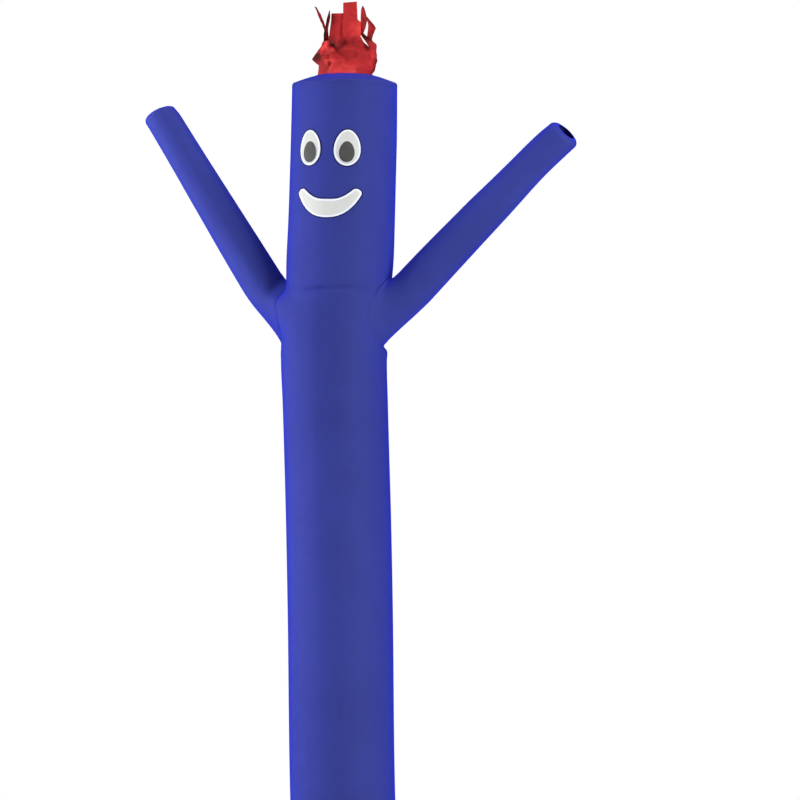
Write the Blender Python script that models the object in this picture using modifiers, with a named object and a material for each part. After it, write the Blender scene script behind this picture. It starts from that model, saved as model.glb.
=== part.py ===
"""Inflatable air dancer: a tall cloth tube that a fan fills with air.

Metres, +Z up. The dancer stands on its hem in the plane z = 0, with the hem's circle centred on the
origin, and its face looks along -Y. "left" and "right" are the dancer's own, so its right arm is at -X.
"""

import math
from collections import namedtuple

import bmesh
import bpy
from mathutils import Vector

# Cloth and making
CLOTH = 0.002  # thickness of the tube's cloth
PATCH = 0.001  # thickness of a sewn-on patch
GAP = 0.0003  # clearance between two pieces
SIDES = 40  # facets round the tube
BODY_STEP = 0.28  # spacing of the body's rows of facets
SHOULDER_STEP = 0.045  # and of those beside the arms
SHOULDER_START = 1.92
HEM_WIDTH = 0.025  # the bottom edge, turned up and sewn, is this deep
HEM_EXTRA = 0.001  # and this much thicker
SHARP_ANGLE = 40  # degrees: edges less sharp than this are shaded smooth
MERGE = 0.00001  # points nearer than this are one

# Heights of the seams
SHOULDER_SEAM = 2.227
CROWN_SEAM = 2.809

# The tube's centreline and radius, a row for each section. The hem fits over a 12 inch collar
Section = namedtuple("Section", "height lean_x lean_y radius")
TUBE = [
    Section(0.000, 0.0000, 0.0000, 0.1545),
    Section(0.400, -0.0205, -0.0020, 0.1512),
    Section(0.800, -0.0354, -0.0055, 0.1506),
    Section(1.280, -0.0400, -0.0100, 0.1506),
    Section(1.555, -0.0442, -0.0130, 0.1506),
    Section(1.760, -0.0491, -0.0155, 0.1505),
    Section(1.900, -0.0528, -0.0170, 0.1508),
    Section(2.036, -0.0564, -0.0180, 0.1520),
    Section(2.168, -0.0481, -0.0185, 0.1535),
    Section(2.227, -0.0425, -0.0188, 0.1510),
    Section(2.311, -0.0378, -0.0190, 0.1534),
    Section(2.425, -0.0329, -0.0195, 0.1524),
    Section(2.540, -0.0292, -0.0200, 0.1518),
    Section(2.666, -0.0258, -0.0200, 0.1514),
    Section(2.812, -0.0237, -0.0200, 0.1502),
    Section(2.900, -0.0230, -0.0200, 0.1500),
]

# The crown: a shallow dome with a rounded rim and a vent in its middle
VENT_RADIUS = 0.0780
RIM_ROUND = 0.006
RIM_SLOPE = 23  # degrees, of the dome next to the rim
RIM_ROWS = 2
DOME_ROWS = 3

# The arms: side is -1 at -X and +1 at +X, and (out, back, up) is the way that the arm points. Its
# middle line meets the wall this far below the middle of its foot, and bows up by this much
Arm = namedtuple("Arm", "name side out back up low bow")
ARMS = [
    Arm("arm_right", -1, 0.551, 0.064, 0.832, 0.016, 0.000),
    Arm("arm_left", 1, 0.720, -0.055, 0.692, 0.009, 0.006),
]
ARM_LENGTH = 0.736  # along its middle line, from the tube's wall to the mouth
ARM_ROOT_RADIUS = 0.0605
ARM_TIP_RADIUS = 0.0495
ARM_WIDENS = 0.92  # share of the length, from the tip, over which it widens to the root's radius
ARM_SIDES = 24
MOUTH_RADIUS = 0.029  # the open end, drawn in
MOUTH_DEPTH = 0.016  # length over which it draws in
FOOT_HEIGHT = 2.158  # middle of the oval foot, where the arm is sewn on
FOOT_HALF_HEIGHT = 0.094
FOOT_HALF_WIDTH = 0.075
FOOT_LAP = 0.009  # how far the foot laps over the edge of the hole
FOOT_CLEAR = 0.0008  # the foot's clearance off the round wall, as the two sets of facets differ
FOOT_HUG = 0.22  # how closely the arm hugs the wall before it leaves: 0 is straight, 1 is close
FLARE_LENGTH = 0.125  # along the arm, from the wall to where it is round
FLARE_ROWS = 5
SLEEVE_ROWS = 4
MOUTH_ROWS = 2
HOLE_SIDES = 32  # of the oval hole in the tube's wall
HOLE_DEPTH = 0.12  # of its cutter

# The face: places are measured round the tube from its front, in degrees, and up from the floor
FACE_STEP = 0.1  # spacing of the head's rows of facets, which the patches share
EYE_BEARING = 22.0
EYE_HEIGHT = 2.623
EYE_HALF_WIDTH = 0.0375
EYE_HALF_HEIGHT = 0.0513
PUPIL_HEIGHT = 2.611
PUPIL_HALF_WIDTH = 0.0225
PUPIL_HALF_HEIGHT = 0.0293
SMILE_BEARING = 1.5
SMILE_BOTTOM = 2.426
SMILE_HALF_WIDTH = 0.083  # to the middle of each rounded end
SMILE_RISE = 0.048  # from the middle of the smile to its ends
SMILE_MIDDLE = 0.025  # half its depth in the middle
SMILE_END = 0.011  # radius of its ends
SMILE_STEPS = 16
SMILE_END_STEPS = 6
PATCH_REACH = 0.04  # how far the prism that outlines a patch runs in and out of the wall
EGG_POINTS = 28
EGG_TAPER = 0.12  # how much narrower an eye is at its top, and wider at its bottom

# The hair: a collar in the vent, cut into strips above. Bearings run from the front towards +X,
# in degrees, and heights are above the vent's edge
HAIR_CLOTH = 0.0012
HAIR_CLEAR = 0.0008  # its clearance inside the vent, as the two sets of facets differ
HAIR_RADIUS = VENT_RADIUS - HAIR_CLEAR
HAIR_ROOT = 0.020  # how far it reaches down inside the vent
HAIR_ROWS = [-HAIR_ROOT, 0.004, 0.020, 0.035, 0.050, 0.068]
HAIR_COLLAR = 0.088  # height of the uncut part
HAIR_SETTLE = 0.03  # height at which its folds are at full depth
HAIR_TURN = -8  # bearing of the first strip
STRIP_COLUMNS = 3  # faces across a strip
STRIP_ROWS = 4
STRIP_NARROW = 0.05  # how much narrower a free strip is than its share of the collar
STRIP_FLAT = 0.5  # share of a strip's length over which it leaves the collar's curve and lies flat
Strip = namedtuple("Strip", "height out bulge sideways twist")
STRIPS = [
    Strip(0.166, -0.004, 0.000, 0.004, 0),
    Strip(0.201, 0.000, 0.000, 0.008, 4),
    Strip(0.180, 0.004, 0.004, 0.004, -38),
    Strip(0.188, -0.016, 0.016, 0.000, 20),
    Strip(0.130, 0.004, 0.000, 0.000, 15),
    Strip(0.104, -0.004, 0.000, 0.000, -10),
    Strip(0.140, 0.002, 0.000, 0.004, 10),
    Strip(0.106, -0.003, 0.000, 0.000, -12),
    Strip(0.178, -0.014, 0.000, 0.002, -20),
    Strip(0.188, 0.024, 0.000, -0.002, 6),
    Strip(0.112, -0.006, 0.000, 0.000, -6),
]
Fold = namedtuple("Fold", "bearing height spread rise push")
FOLDS = [
    Fold(-72, 0.046, 24, 0.014, 0.024),
    Fold(-72, 0.096, 34, 0.020, -0.014),
    Fold(15, 0.092, 40, 0.014, -0.010),
    Fold(104, 0.046, 38, 0.036, 0.021),
    Fold(160, 0.060, 36, 0.022, -0.014),
    Fold(-150, 0.052, 36, 0.020, 0.009),
]


def clear_scene():
    for obj in list(bpy.data.objects):
        bpy.data.objects.remove(obj)


def collection(name):
    made = bpy.data.collections.new(name)
    bpy.context.scene.collection.children.link(made)
    return made


def material(name, colour, roughness):
    made = bpy.data.materials.new(name)
    made.use_nodes = True
    shader = made.node_tree.nodes["Principled BSDF"]
    shader.inputs["Base Color"].default_value = (*colour, 1)
    shader.inputs["Roughness"].default_value = roughness
    shader.inputs["Metallic"].default_value = 0
    return made


def along_tube(height, column):
    """A column of TUBE at a height, on a cubic curve through the rows, flat at the first row."""
    rows = TUBE
    i = max(k for k in range(len(rows) - 1) if rows[k].height <= height or k == 0)
    a, b = rows[i], rows[i + 1]

    def slope(k):
        if k == 0 or k == len(rows) - 1:
            return 0
        before, after = rows[k - 1], rows[k + 1]
        return (getattr(after, column) - getattr(before, column)) / (after.height - before.height)

    span = b.height - a.height
    t = (height - a.height) / span
    return (
        (2 * t**3 - 3 * t**2 + 1) * getattr(a, column)
        + (t**3 - 2 * t**2 + t) * span * slope(i)
        + (3 * t**2 - 2 * t**3) * getattr(b, column)
        + (t**3 - t**2) * span * slope(i + 1)
    )


def lean(height):
    return Vector((along_tube(height, "lean_x"), along_tube(height, "lean_y"), 0))


def on_tube(bearing, height, above=0):
    """The point on the tube at a bearing in radians from +X, so far above the cloth's outer side."""
    reach = along_tube(height, "radius") + above
    flat = Vector((reach * math.cos(bearing), reach * math.sin(bearing), height))
    return flat + lean(height)


def stations(low, high, step):
    """Heights from low to high, with the multiples of step between them."""
    between = [k * step for k in range(1, int(high / step) + 1)]
    return [low] + [h for h in between if low + step / 4 < h < high - step / 4] + [high]


def baked(obj, shift=None):
    """The object again as a mesh with its modifiers applied, and each point moved by shift(height)."""
    graph = bpy.context.evaluated_depsgraph_get()
    mesh = bpy.data.meshes.new_from_object(obj.evaluated_get(graph))
    name, matrix = obj.name, obj.matrix_world.copy()
    homes = list(obj.users_collection)
    bpy.data.objects.remove(obj)
    mesh.transform(matrix)
    if shift:
        for vertex in mesh.vertices:
            vertex.co += shift(vertex.co.z)
    made = bpy.data.objects.new(name, mesh)
    for home in homes:
        home.objects.link(made)
    return made


def turned(name, profile, home):
    """A closed profile of (radius, height) points turned round the tube's centreline."""
    mesh = bpy.data.meshes.new(name)
    count = len(profile)
    mesh.from_pydata([(r, 0, z) for r, z in profile], [(i, (i + 1) % count) for i in range(count)], [])
    obj = bpy.data.objects.new(name, mesh)
    home.objects.link(obj)
    screw = obj.modifiers.new("Turn", "SCREW")
    screw.steps = screw.render_steps = SIDES
    screw.use_merge_vertices = False
    bpy.context.view_layer.update()
    return baked(obj, lean)


def wall(heights, above=0.0, thickness=CLOTH):
    """The closed profile of a wall on the tube: down its outer side, and up its inner side."""
    outer = [(along_tube(h, "radius") + above, h) for h in reversed(heights)]
    inner = [(r - thickness, h) for r, h in reversed(outer)]
    return outer + inner


def body_profile():
    """The body's wall, with its turned hem standing proud at the bottom."""
    heights = stations(HEM_WIDTH, SHOULDER_START, BODY_STEP)
    heights += stations(SHOULDER_START, SHOULDER_SEAM - GAP / 2, SHOULDER_STEP)[1:]
    outer = [(along_tube(h, "radius"), h) for h in reversed(heights)]
    inner = [(r - CLOTH, h) for r, h in reversed(outer)]
    foot = along_tube(0, "radius")
    hem = [(foot + HEM_EXTRA, HEM_WIDTH), (foot + HEM_EXTRA, 0), (foot - CLOTH, 0)]
    return outer + hem + inner


def dome(inset):
    """Half of the crown's section, from the seam to the vent: a rounded rim, then a parabola."""
    reach = along_tube(CROWN_SEAM, "radius")
    rim = RIM_ROUND - inset
    points = []
    for k in range(RIM_ROWS + 1):
        turn = math.radians((90 - RIM_SLOPE) * k / RIM_ROWS)
        across = reach - RIM_ROUND + rim * math.cos(turn)
        points.append((across, CROWN_SEAM + GAP / 2 + rim * math.sin(turn)))
    start, foot = points[-1]
    bend = math.tan(math.radians(RIM_SLOPE)) / (2 * start)
    for k in range(1, DOME_ROWS + 1):
        across = start + (VENT_RADIUS - start) * k / DOME_ROWS
        points.append((across, foot + bend * (start**2 - across**2)))
    return points


def crown_profile():
    """The top panel's wall: down its outer side from the vent, and up its inner side."""
    return dome(0)[::-1] + dome(CLOTH)


def subtract(obj, cutter):
    cut = obj.modifiers.new("Cut " + cutter.name, "BOOLEAN")
    cut.operation = "DIFFERENCE"
    cut.object = cutter


def arm_hole(arm, cutters):
    """An oval cutter through the tube's wall, smaller than the foot by its lap."""
    reach = along_tube(FOOT_HEIGHT, "radius")
    centre = lean(FOOT_HEIGHT) + Vector((arm.side * reach, 0, FOOT_HEIGHT))
    bpy.ops.mesh.primitive_cylinder_add(
        vertices=HOLE_SIDES, radius=1, depth=HOLE_DEPTH, location=centre, rotation=(0, math.radians(90), 0)
    )
    cutter = bpy.context.object
    cutter.name = arm.name + "_hole"
    cutter.scale = (FOOT_HALF_HEIGHT - FOOT_LAP, FOOT_HALF_WIDTH - FOOT_LAP, 1)
    bpy.ops.object.transform_apply(location=False, rotation=False, scale=True)
    for home in list(cutter.users_collection):
        home.objects.unlink(cutter)
    cutters.objects.link(cutter)
    cutter.hide_render = True
    cutter.display_type = "WIRE"
    return cutter


def foot_point(arm, turn, size):
    """A point of the oval foot on the tube, at a turn round the arm and a share of its full size."""
    middle = math.pi if arm.side < 0 else 0
    round_tube = FOOT_HALF_WIDTH / along_tube(FOOT_HEIGHT, "radius")
    bearing = middle - arm.side * size * round_tube * math.cos(turn)
    height = FOOT_HEIGHT + size * FOOT_HALF_HEIGHT * math.sin(turn)
    return on_tube(bearing, height, CLOTH + FOOT_CLEAR)


def smooth(share):
    """Runs from 0 to 1 with a level start and end."""
    share = min(1, max(0, share))
    return share * share * (3 - 2 * share)


def arm_rings(arm):
    """Rings of points down an arm: the flare from its foot, the sleeve, and the drawn-in mouth."""
    way = Vector((arm.side * arm.out, arm.back, arm.up)).normalized()
    front = Vector((0, 0, 1)).cross(way).normalized() * -arm.side
    top = (way.cross(front) * -arm.side).normalized()
    root = on_tube(math.pi if arm.side < 0 else 0, FOOT_HEIGHT - arm.low)
    turns = [2 * math.pi * k / ARM_SIDES for k in range(ARM_SIDES)]

    def ring(along, radius):
        share = along / ARM_LENGTH
        centre = root + way * along + top * arm.bow * 4 * share * (1 - share)
        return [centre + radius * (front * math.cos(a) + top * math.sin(a)) for a in turns]

    def sleeve_radius(along):
        to_tip = (ARM_LENGTH - along) / ARM_LENGTH
        return ARM_TIP_RADIUS + (ARM_ROOT_RADIUS - ARM_TIP_RADIUS) * smooth(to_tip / ARM_WIDENS)

    rings = []
    first = ring(FLARE_LENGTH, sleeve_radius(FLARE_LENGTH))
    for step in range(FLARE_ROWS):
        t = step / FLARE_ROWS
        row = []
        for turn, end in zip(turns, first):
            foot = foot_point(arm, turn, 1)
            pull = (end - foot).length
            inward = (foot_point(arm, turn, 0.9) - foot).normalized() * pull
            leave = inward * FOOT_HUG + (end - foot) * (1 - FOOT_HUG)
            row.append(
                (2 * t**3 - 3 * t**2 + 1) * foot
                + (t**3 - 2 * t**2 + t) * leave
                + (3 * t**2 - 2 * t**3) * end
                + (t**3 - t**2) * pull * way
            )
        rings.append(row)
    straight = ARM_LENGTH - MOUTH_DEPTH
    for step in range(SLEEVE_ROWS + 1):
        along = FLARE_LENGTH + (straight - FLARE_LENGTH) * step / SLEEVE_ROWS
        rings.append(ring(along, sleeve_radius(along)))
    for step in range(1, MOUTH_ROWS + 1):
        turn = math.pi / 2 * step / MOUTH_ROWS
        drawn = ARM_TIP_RADIUS - MOUTH_RADIUS
        radius = MOUTH_RADIUS + drawn * math.cos(turn)
        rings.append(ring(straight + MOUTH_DEPTH * math.sin(turn), radius))
    return rings


def bridge(shape, low, high):
    """A band of faces between two closed rings of a bmesh."""
    for i in range(len(low)):
        j = (i + 1) % len(low)
        shape.faces.new((low[i], low[j], high[j], high[i]))


def face_outwards(shape, ring, index):
    """Turns a tubular surface over if the face at index, beside a ring, looks inwards."""
    middle = sum((v.co for v in ring), Vector()) / len(ring)
    shape.faces.ensure_lookup_table()
    face = shape.faces[index]
    face.normal_update()
    if face.normal.dot(face.calc_center_median() - middle) < 0:
        bmesh.ops.reverse_faces(shape, faces=shape.faces)


def lofted(name, rings, home):
    """An open surface through closed rings of equally many points."""
    shape = bmesh.new()
    rows = [[shape.verts.new(p) for p in row] for row in rings]
    for low, high in zip(rows, rows[1:]):
        bridge(shape, low, high)
    middle = len(rows) // 2
    face_outwards(shape, rows[middle], middle * len(rows[0]))
    mesh = bpy.data.meshes.new(name)
    shape.to_mesh(mesh)
    shape.free()
    obj = bpy.data.objects.new(name, mesh)
    home.objects.link(obj)
    return obj


def thicken(obj, thickness):
    """Gives a surface its cloth's thickness, on the inner side."""
    solid = obj.modifiers.new("Cloth", "SOLIDIFY")
    solid.thickness = thickness
    solid.offset = -1
    solid.use_even_offset = True


def outline_prism(name, points, bearing, height, cutters):
    """A flat outline of (across, up) points, made a deep prism that faces out at a bearing."""
    curve = bpy.data.curves.new(name, "CURVE")
    curve.dimensions = "2D"
    curve.fill_mode = "BOTH"
    curve.extrude = PATCH_REACH
    spline = curve.splines.new("POLY")
    spline.points.add(len(points) - 1)
    for point, (across, up) in zip(spline.points, points):
        point.co = (across, up, 0, 1)
    spline.use_cyclic_u = True
    obj = bpy.data.objects.new(name, curve)
    cutters.objects.link(obj)
    obj.rotation_euler = (math.radians(90), 0, math.radians(bearing))
    obj.location = on_tube(math.radians(bearing - 90), height)
    bpy.context.view_layer.update()
    obj = baked(obj)
    shape = bmesh.new()
    shape.from_mesh(obj.data)
    bmesh.ops.remove_doubles(shape, verts=shape.verts, dist=MERGE)
    bmesh.ops.recalc_face_normals(shape, faces=shape.faces)
    shape.to_mesh(obj.data)
    shape.free()
    obj.hide_render = True
    obj.display_type = "WIRE"
    return obj


def egg(half_width, half_height):
    """An oval that is narrower at the top."""
    points = []
    for k in range(EGG_POINTS):
        turn = 2 * math.pi * k / EGG_POINTS
        across = half_width * math.cos(turn) * (1 - EGG_TAPER * math.sin(turn))
        points.append((across, half_height * math.sin(turn)))
    return points


def smile():
    """A crescent with rounded ends: a curved line with a depth that shrinks towards its ends."""
    lower, upper = [], []
    for k in range(SMILE_STEPS + 1):
        share = -1 + 2 * k / SMILE_STEPS
        across = SMILE_HALF_WIDTH * share
        up = SMILE_RISE * share**2
        slope = math.atan2(2 * SMILE_RISE * share, SMILE_HALF_WIDTH)
        depth = SMILE_END + (SMILE_MIDDLE - SMILE_END) * (1 - share**2)
        step_out = Vector((-math.sin(slope), math.cos(slope))) * depth
        lower.append((across - step_out.x, up - step_out.y))
        upper.append((across + step_out.x, up + step_out.y))
    end_slope = math.atan2(2 * SMILE_RISE, SMILE_HALF_WIDTH)
    right, left = [], []
    for k in range(1, SMILE_END_STEPS):
        turn = end_slope - math.pi / 2 + math.pi * k / SMILE_END_STEPS
        cap = SMILE_END * Vector((math.cos(turn), math.sin(turn)))
        right.append((SMILE_HALF_WIDTH + cap.x, SMILE_RISE + cap.y))
        left.append((-SMILE_HALF_WIDTH - cap.x, SMILE_RISE + cap.y))
    return lower + right + upper[::-1] + left[::-1]


def patch(name, points, bearing, height, above, home, cutters):
    """A sewn-on patch: the part of a thin wall round the tube that lies inside an outline."""
    reach = max(abs(up) for _, up in points)
    low = math.floor((height - reach) / FACE_STEP) * FACE_STEP
    high = math.ceil((height + reach) / FACE_STEP) * FACE_STEP
    heights = stations(low, high, FACE_STEP)
    obj = turned(name, wall(heights, above + PATCH, PATCH), home)
    shape = obj.modifiers.new("Outline", "BOOLEAN")
    shape.operation = "INTERSECT"
    shape.object = outline_prism(name + "_outline", points, bearing, height, cutters)
    return obj


def hair_radius(bearing, height):
    """The collar's radius with its folds, each a soft push in or out."""
    reach = HAIR_RADIUS
    settle = smooth(height / HAIR_SETTLE)
    for fold in FOLDS:
        away = (bearing - fold.bearing + 180) % 360 - 180
        up = (height - fold.height) / fold.rise
        reach += settle * fold.push * math.exp(-((away / fold.spread) ** 2) - up**2)
    return reach


def hair_ways(bearing):
    """The ways out from the hair's middle, and sideways round it, at a bearing."""
    turn = math.radians(bearing)
    return Vector((math.sin(turn), -math.cos(turn), 0)), Vector((math.cos(turn), math.sin(turn), 0))


def collar_point(bearing, height):
    return hair_ways(bearing)[0] * hair_radius(bearing, height) + Vector((0, 0, height))


def strip_point(strip, middle, across, share):
    """A point of a free strip: across is -1 to 1, and share runs from its root to its end."""
    half = 180 / len(STRIPS)
    out, side = hair_ways(middle)
    flatness = smooth(share / STRIP_FLAT)
    narrow = 1 - STRIP_NARROW * flatness
    rim = collar_point(middle + across * half * narrow, HAIR_COLLAR)
    reach = hair_radius(middle, HAIR_COLLAR) + strip.out * share + strip.bulge * math.sin(math.pi * share)
    turn = math.radians(strip.twist * share)
    half_width = math.radians(half) * min(reach, HAIR_RADIUS) * narrow
    flat = (side * math.cos(turn) + out * math.sin(turn)) * across * half_width
    ribbon = out * reach + flat + side * strip.sideways * share
    lift = Vector((0, 0, (strip.height - HAIR_COLLAR) * share))
    return rim * (1 - flatness) + (ribbon + Vector((0, 0, HAIR_COLLAR))) * flatness + lift


def hair(home):
    """One fringe: a folded collar in the vent that is cut into strips above."""
    vent = dome(0)[-1][1]
    base = lean(vent) + Vector((0, 0, vent))
    arc = 360 / len(STRIPS)
    bearings = [HAIR_TURN + arc * (k / STRIP_COLUMNS - 0.5) for k in range(len(STRIPS) * STRIP_COLUMNS)]
    shape = bmesh.new()
    rows = []
    for height in HAIR_ROWS + [HAIR_COLLAR]:
        rows.append([shape.verts.new(base + collar_point(bearing, height)) for bearing in bearings])
    for low, high in zip(rows, rows[1:]):
        bridge(shape, low, high)
    for index, strip in enumerate(STRIPS):
        start = index * STRIP_COLUMNS
        below = [rows[-1][(start + c) % len(bearings)] for c in range(STRIP_COLUMNS + 1)]
        for step in range(1, STRIP_ROWS + 1):
            above = []
            for column in range(STRIP_COLUMNS + 1):
                across = -1 + 2 * column / STRIP_COLUMNS
                point = strip_point(strip, HAIR_TURN + arc * index, across, step / STRIP_ROWS)
                above.append(shape.verts.new(base + point))
            for c in range(STRIP_COLUMNS):
                shape.faces.new((below[c], below[c + 1], above[c + 1], above[c]))
            below = above
    face_outwards(shape, rows[0], 0)
    mesh = bpy.data.meshes.new("hair")
    shape.to_mesh(mesh)
    shape.free()
    obj = bpy.data.objects.new("hair", mesh)
    home.objects.link(obj)
    thicken(obj, HAIR_CLOTH)
    return obj


def paint(obj, finish):
    obj.data.materials.clear()
    obj.data.materials.append(finish)
    obj.data.shade_smooth()
    obj.data.set_sharp_from_angle(angle=math.radians(SHARP_ANGLE))


def main():
    clear_scene()
    parts = collection("inflatable_air_dancer")
    cutters = collection("cutters")
    blue = material("blue_nylon", (0.035, 0.045, 0.32), 0.55)
    red = material("red_nylon", (0.55, 0.02, 0.025), 0.45)
    white = material("white_patch", (0.8, 0.8, 0.78), 0.6)
    grey = material("grey_patch", (0.08, 0.08, 0.08), 0.5)

    body = turned("body_tube", body_profile(), parts)
    head_heights = stations(SHOULDER_SEAM + GAP / 2, CROWN_SEAM - GAP / 2, FACE_STEP)
    head = turned("head_tube", wall(head_heights), parts)
    crown = turned("crown", crown_profile(), parts)
    arms = []
    for arm in ARMS:
        hole = arm_hole(arm, cutters)
        subtract(body, hole)
        subtract(head, hole)
        arms.append(lofted(arm.name, arm_rings(arm), parts))
        thicken(arms[-1], CLOTH)
    for piece in (body, head, crown, *arms):
        paint(piece, blue)
    paint(hair(parts), red)

    eye = egg(EYE_HALF_WIDTH, EYE_HALF_HEIGHT)
    pupil = egg(PUPIL_HALF_WIDTH, PUPIL_HALF_HEIGHT)
    for side, bearing in (("right", -EYE_BEARING), ("left", EYE_BEARING)):
        paint(patch("eye_white_" + side, eye, bearing, EYE_HEIGHT, GAP, parts, cutters), white)
        above = 2 * GAP + PATCH
        paint(patch("pupil_" + side, pupil, bearing, PUPIL_HEIGHT, above, parts, cutters), grey)
    smile_height = SMILE_BOTTOM + SMILE_MIDDLE
    paint(patch("mouth", smile(), SMILE_BEARING, smile_height, GAP, parts, cutters), white)


main()
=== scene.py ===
"""Dresses the air dancer: inflated ripstop cloth, sewn seams, stitched patches and crumpled hair.

Metres, +Z up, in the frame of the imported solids. The dancer stands on its hem at the origin, its face
looks along -Y, and "left" and "right" are its own. Bearings run round the tube from its front towards
+X, in degrees.
"""

import math
from collections import namedtuple

import bpy
import numpy as np
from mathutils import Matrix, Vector
from mathutils.geometry import delaunay_2d_cdt


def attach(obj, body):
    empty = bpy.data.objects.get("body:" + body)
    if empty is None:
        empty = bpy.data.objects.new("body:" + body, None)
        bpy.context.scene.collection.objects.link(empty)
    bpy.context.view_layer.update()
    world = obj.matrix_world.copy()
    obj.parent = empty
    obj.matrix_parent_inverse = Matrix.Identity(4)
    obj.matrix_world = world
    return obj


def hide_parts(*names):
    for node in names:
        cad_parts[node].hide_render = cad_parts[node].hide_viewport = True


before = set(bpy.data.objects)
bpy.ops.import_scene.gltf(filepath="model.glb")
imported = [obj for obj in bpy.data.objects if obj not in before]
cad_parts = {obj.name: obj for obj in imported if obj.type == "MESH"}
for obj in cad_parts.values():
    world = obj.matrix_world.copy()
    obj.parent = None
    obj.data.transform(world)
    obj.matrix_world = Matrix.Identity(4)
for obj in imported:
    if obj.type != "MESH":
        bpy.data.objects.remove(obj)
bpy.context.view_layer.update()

# ---- Sizes that the cloth shares with the solids ----
SHOWN_CLOTH = 0.0009
SHOULDER_SEAM = 2.227
CROWN_SEAM = 2.809
HEM_WIDTH = 0.025
HEM_EXTRA = 0.001  # how far the turned hem stands out
VENT_RADIUS = 0.0780
RIM_ROUND = 0.006
RIM_SLOPE = 23  # of the top panel where its rounded rim ends, in degrees
RIM_SHARE = 0.22  # of the way in along the top panel, over which its rim is rounded

Section = namedtuple("Section", "height lean_x lean_y radius")
TUBE = [
    Section(0.000, 0.0000, 0.0000, 0.1545),
    Section(0.400, -0.0205, -0.0020, 0.1512),
    Section(0.800, -0.0354, -0.0055, 0.1506),
    Section(1.280, -0.0400, -0.0100, 0.1506),
    Section(1.555, -0.0442, -0.0130, 0.1506),
    Section(1.760, -0.0491, -0.0155, 0.1505),
    Section(1.900, -0.0528, -0.0170, 0.1508),
    Section(2.036, -0.0564, -0.0180, 0.1520),
    Section(2.168, -0.0481, -0.0185, 0.1535),
    Section(2.227, -0.0425, -0.0188, 0.1510),
    Section(2.311, -0.0378, -0.0190, 0.1534),
    Section(2.425, -0.0329, -0.0195, 0.1524),
    Section(2.540, -0.0292, -0.0200, 0.1518),
    Section(2.666, -0.0258, -0.0200, 0.1514),
    Section(2.812, -0.0237, -0.0200, 0.1502),
    Section(2.900, -0.0230, -0.0200, 0.1500),
]

# out, back and up point along the arm, and low is how far under the foot's middle it leaves the wall.
# ahead is how far the foot runs on towards the front, and hug how closely it leaves the wall there.
# The mouth is cut aslant: at slant_turn it reaches slant further than at the turn across from it.
Arm = namedtuple("Arm", "name side out back up low bow ahead hug slant slant_turn")
ARMS = [
    Arm("arm_right", -1, 0.551, 0.064, 0.832, 0.016, -0.0015, 0.080, 0.55, -0.0066, 85),
    Arm("arm_left", 1, 0.720, -0.055, 0.692, 0.009, 0.006, 0.108, 0.95, 0.0046, 180),
]
ARM_LENGTH = 0.736
ARM_ROOT_RADIUS = 0.0605
ARM_TIP_RADIUS = 0.0495
ARM_WIDENS = 0.92  # share of its length over which the arm widens
MOUTH_RADIUS = 0.029
MOUTH_DEPTH = 0.016
FOOT_HEIGHT = 2.158
FOOT_HALF_HEIGHT = 0.094
FOOT_HALF_WIDTH = 0.075
FOOT_LAP = 0.009  # of the foot over the edge of the arm hole
FOOT_HUG = 0.22  # share of the foot's start that runs along the wall
FLARE_LENGTH = 0.125
SLANT_LENGTH = 0.060  # of the arm's end, over which it grows aslant

# wide and tall are half of the eye's size.
Eye = namedtuple("Eye", "side bearing height wide tall pupil_bearing pupil_height")
EYES = [
    Eye("right", -22.0, 2.6228, 0.0349, 0.0493, -21.5, 2.6110),
    Eye("left", 21.0, 2.6203, 0.0368, 0.0500, 20.6, 2.6088),
]
PUPIL_HALF = (0.0208, 0.0288)
EGG_TAPER = 0.12  # how much narrower an eye is above than below
SMILE_BEARING = 0.8
SMILE_BOTTOM = 2.4257
SMILE_HALF_WIDTH = 0.0789
SMILE_RISE = 0.0434
SMILE_POWER = 2.54  # of the curve that its middle line follows
SMILE_TILT = -0.0016  # rise from its middle to its left end, beyond that of the right
SMILE_MIDDLE = 0.0250
SMILE_END = 0.0124
SMILE_TIP = 0.0108

# ---- Finishes ----
BLUE = (0.0345, 0.0460, 0.240)
BLUE_DEEP = (0.0305, 0.0402, 0.209)
BLUE_THREAD = (0.032, 0.043, 0.220)
BLUE_SHADE = (0.016, 0.020, 0.120)  # in the bottom of creases
BLUE_SHEEN = (0.0, 0.01, 1.0)
RED = (0.425, 0.023, 0.025)
RED_DEEP = (0.366, 0.018, 0.020)
# Painted shade in the valleys of the hair's folds.
RED_SHADE = (0.070, 0.002, 0.003)
RED_PAINTED_HIGHLIGHT = (0.75, 0.056, 0.056)  # painted highlight on the crowns of the folds
RED_SHEEN = (1.0, 0.12, 0.12)
PATCH_CLOTH = (0.590, 0.602, 0.578)
PATCH_THREAD = (0.90, 0.93, 1.00)
PATCH_THREAD_SHADE = (0.62, 0.66, 0.84)
# A dark blue band of painted shade round the white patches.
EDGE_PAINTED_SHADE = (0.006, 0.007, 0.070)
PUPIL_CLOTH = (0.060, 0.059, 0.057)
PUPIL_THREAD = (0.026, 0.025, 0.024)
FLOOR_TONES = ((0.78, 0.78, 0.78), (0.84, 0.84, 0.84))


# ---- Shapes from arrays ----
def soft(share):
    """Runs from 0 to 1 with level ends: 3 s^2 - 2 s^3 of the share s, held between 0 and 1."""
    share = np.clip(share, 0.0, 1.0)
    return share * share * (3.0 - 2.0 * share)


def bell(distance):
    """exp(-d^2): 1 in the middle, and near 0 two widths away."""
    return np.exp(-(distance**2))


def with_waves(base, rows, turn, along):
    """A base with waves added: height sin(count turn + drift along + start) for each row, which says a
    wave's height, how often it goes round, how it drifts with the way along, and its start."""
    for height, count, drift, start in rows:
        base = base + height * np.sin(count * turn + drift * along + start)
    return base


def pleats(turn, count, drift, waves):
    """Small folds round whose spacing drifts: sin(count turn + drift sin(waves turn))."""
    return np.sin(count * turn + drift * np.sin(waves * turn))


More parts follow.
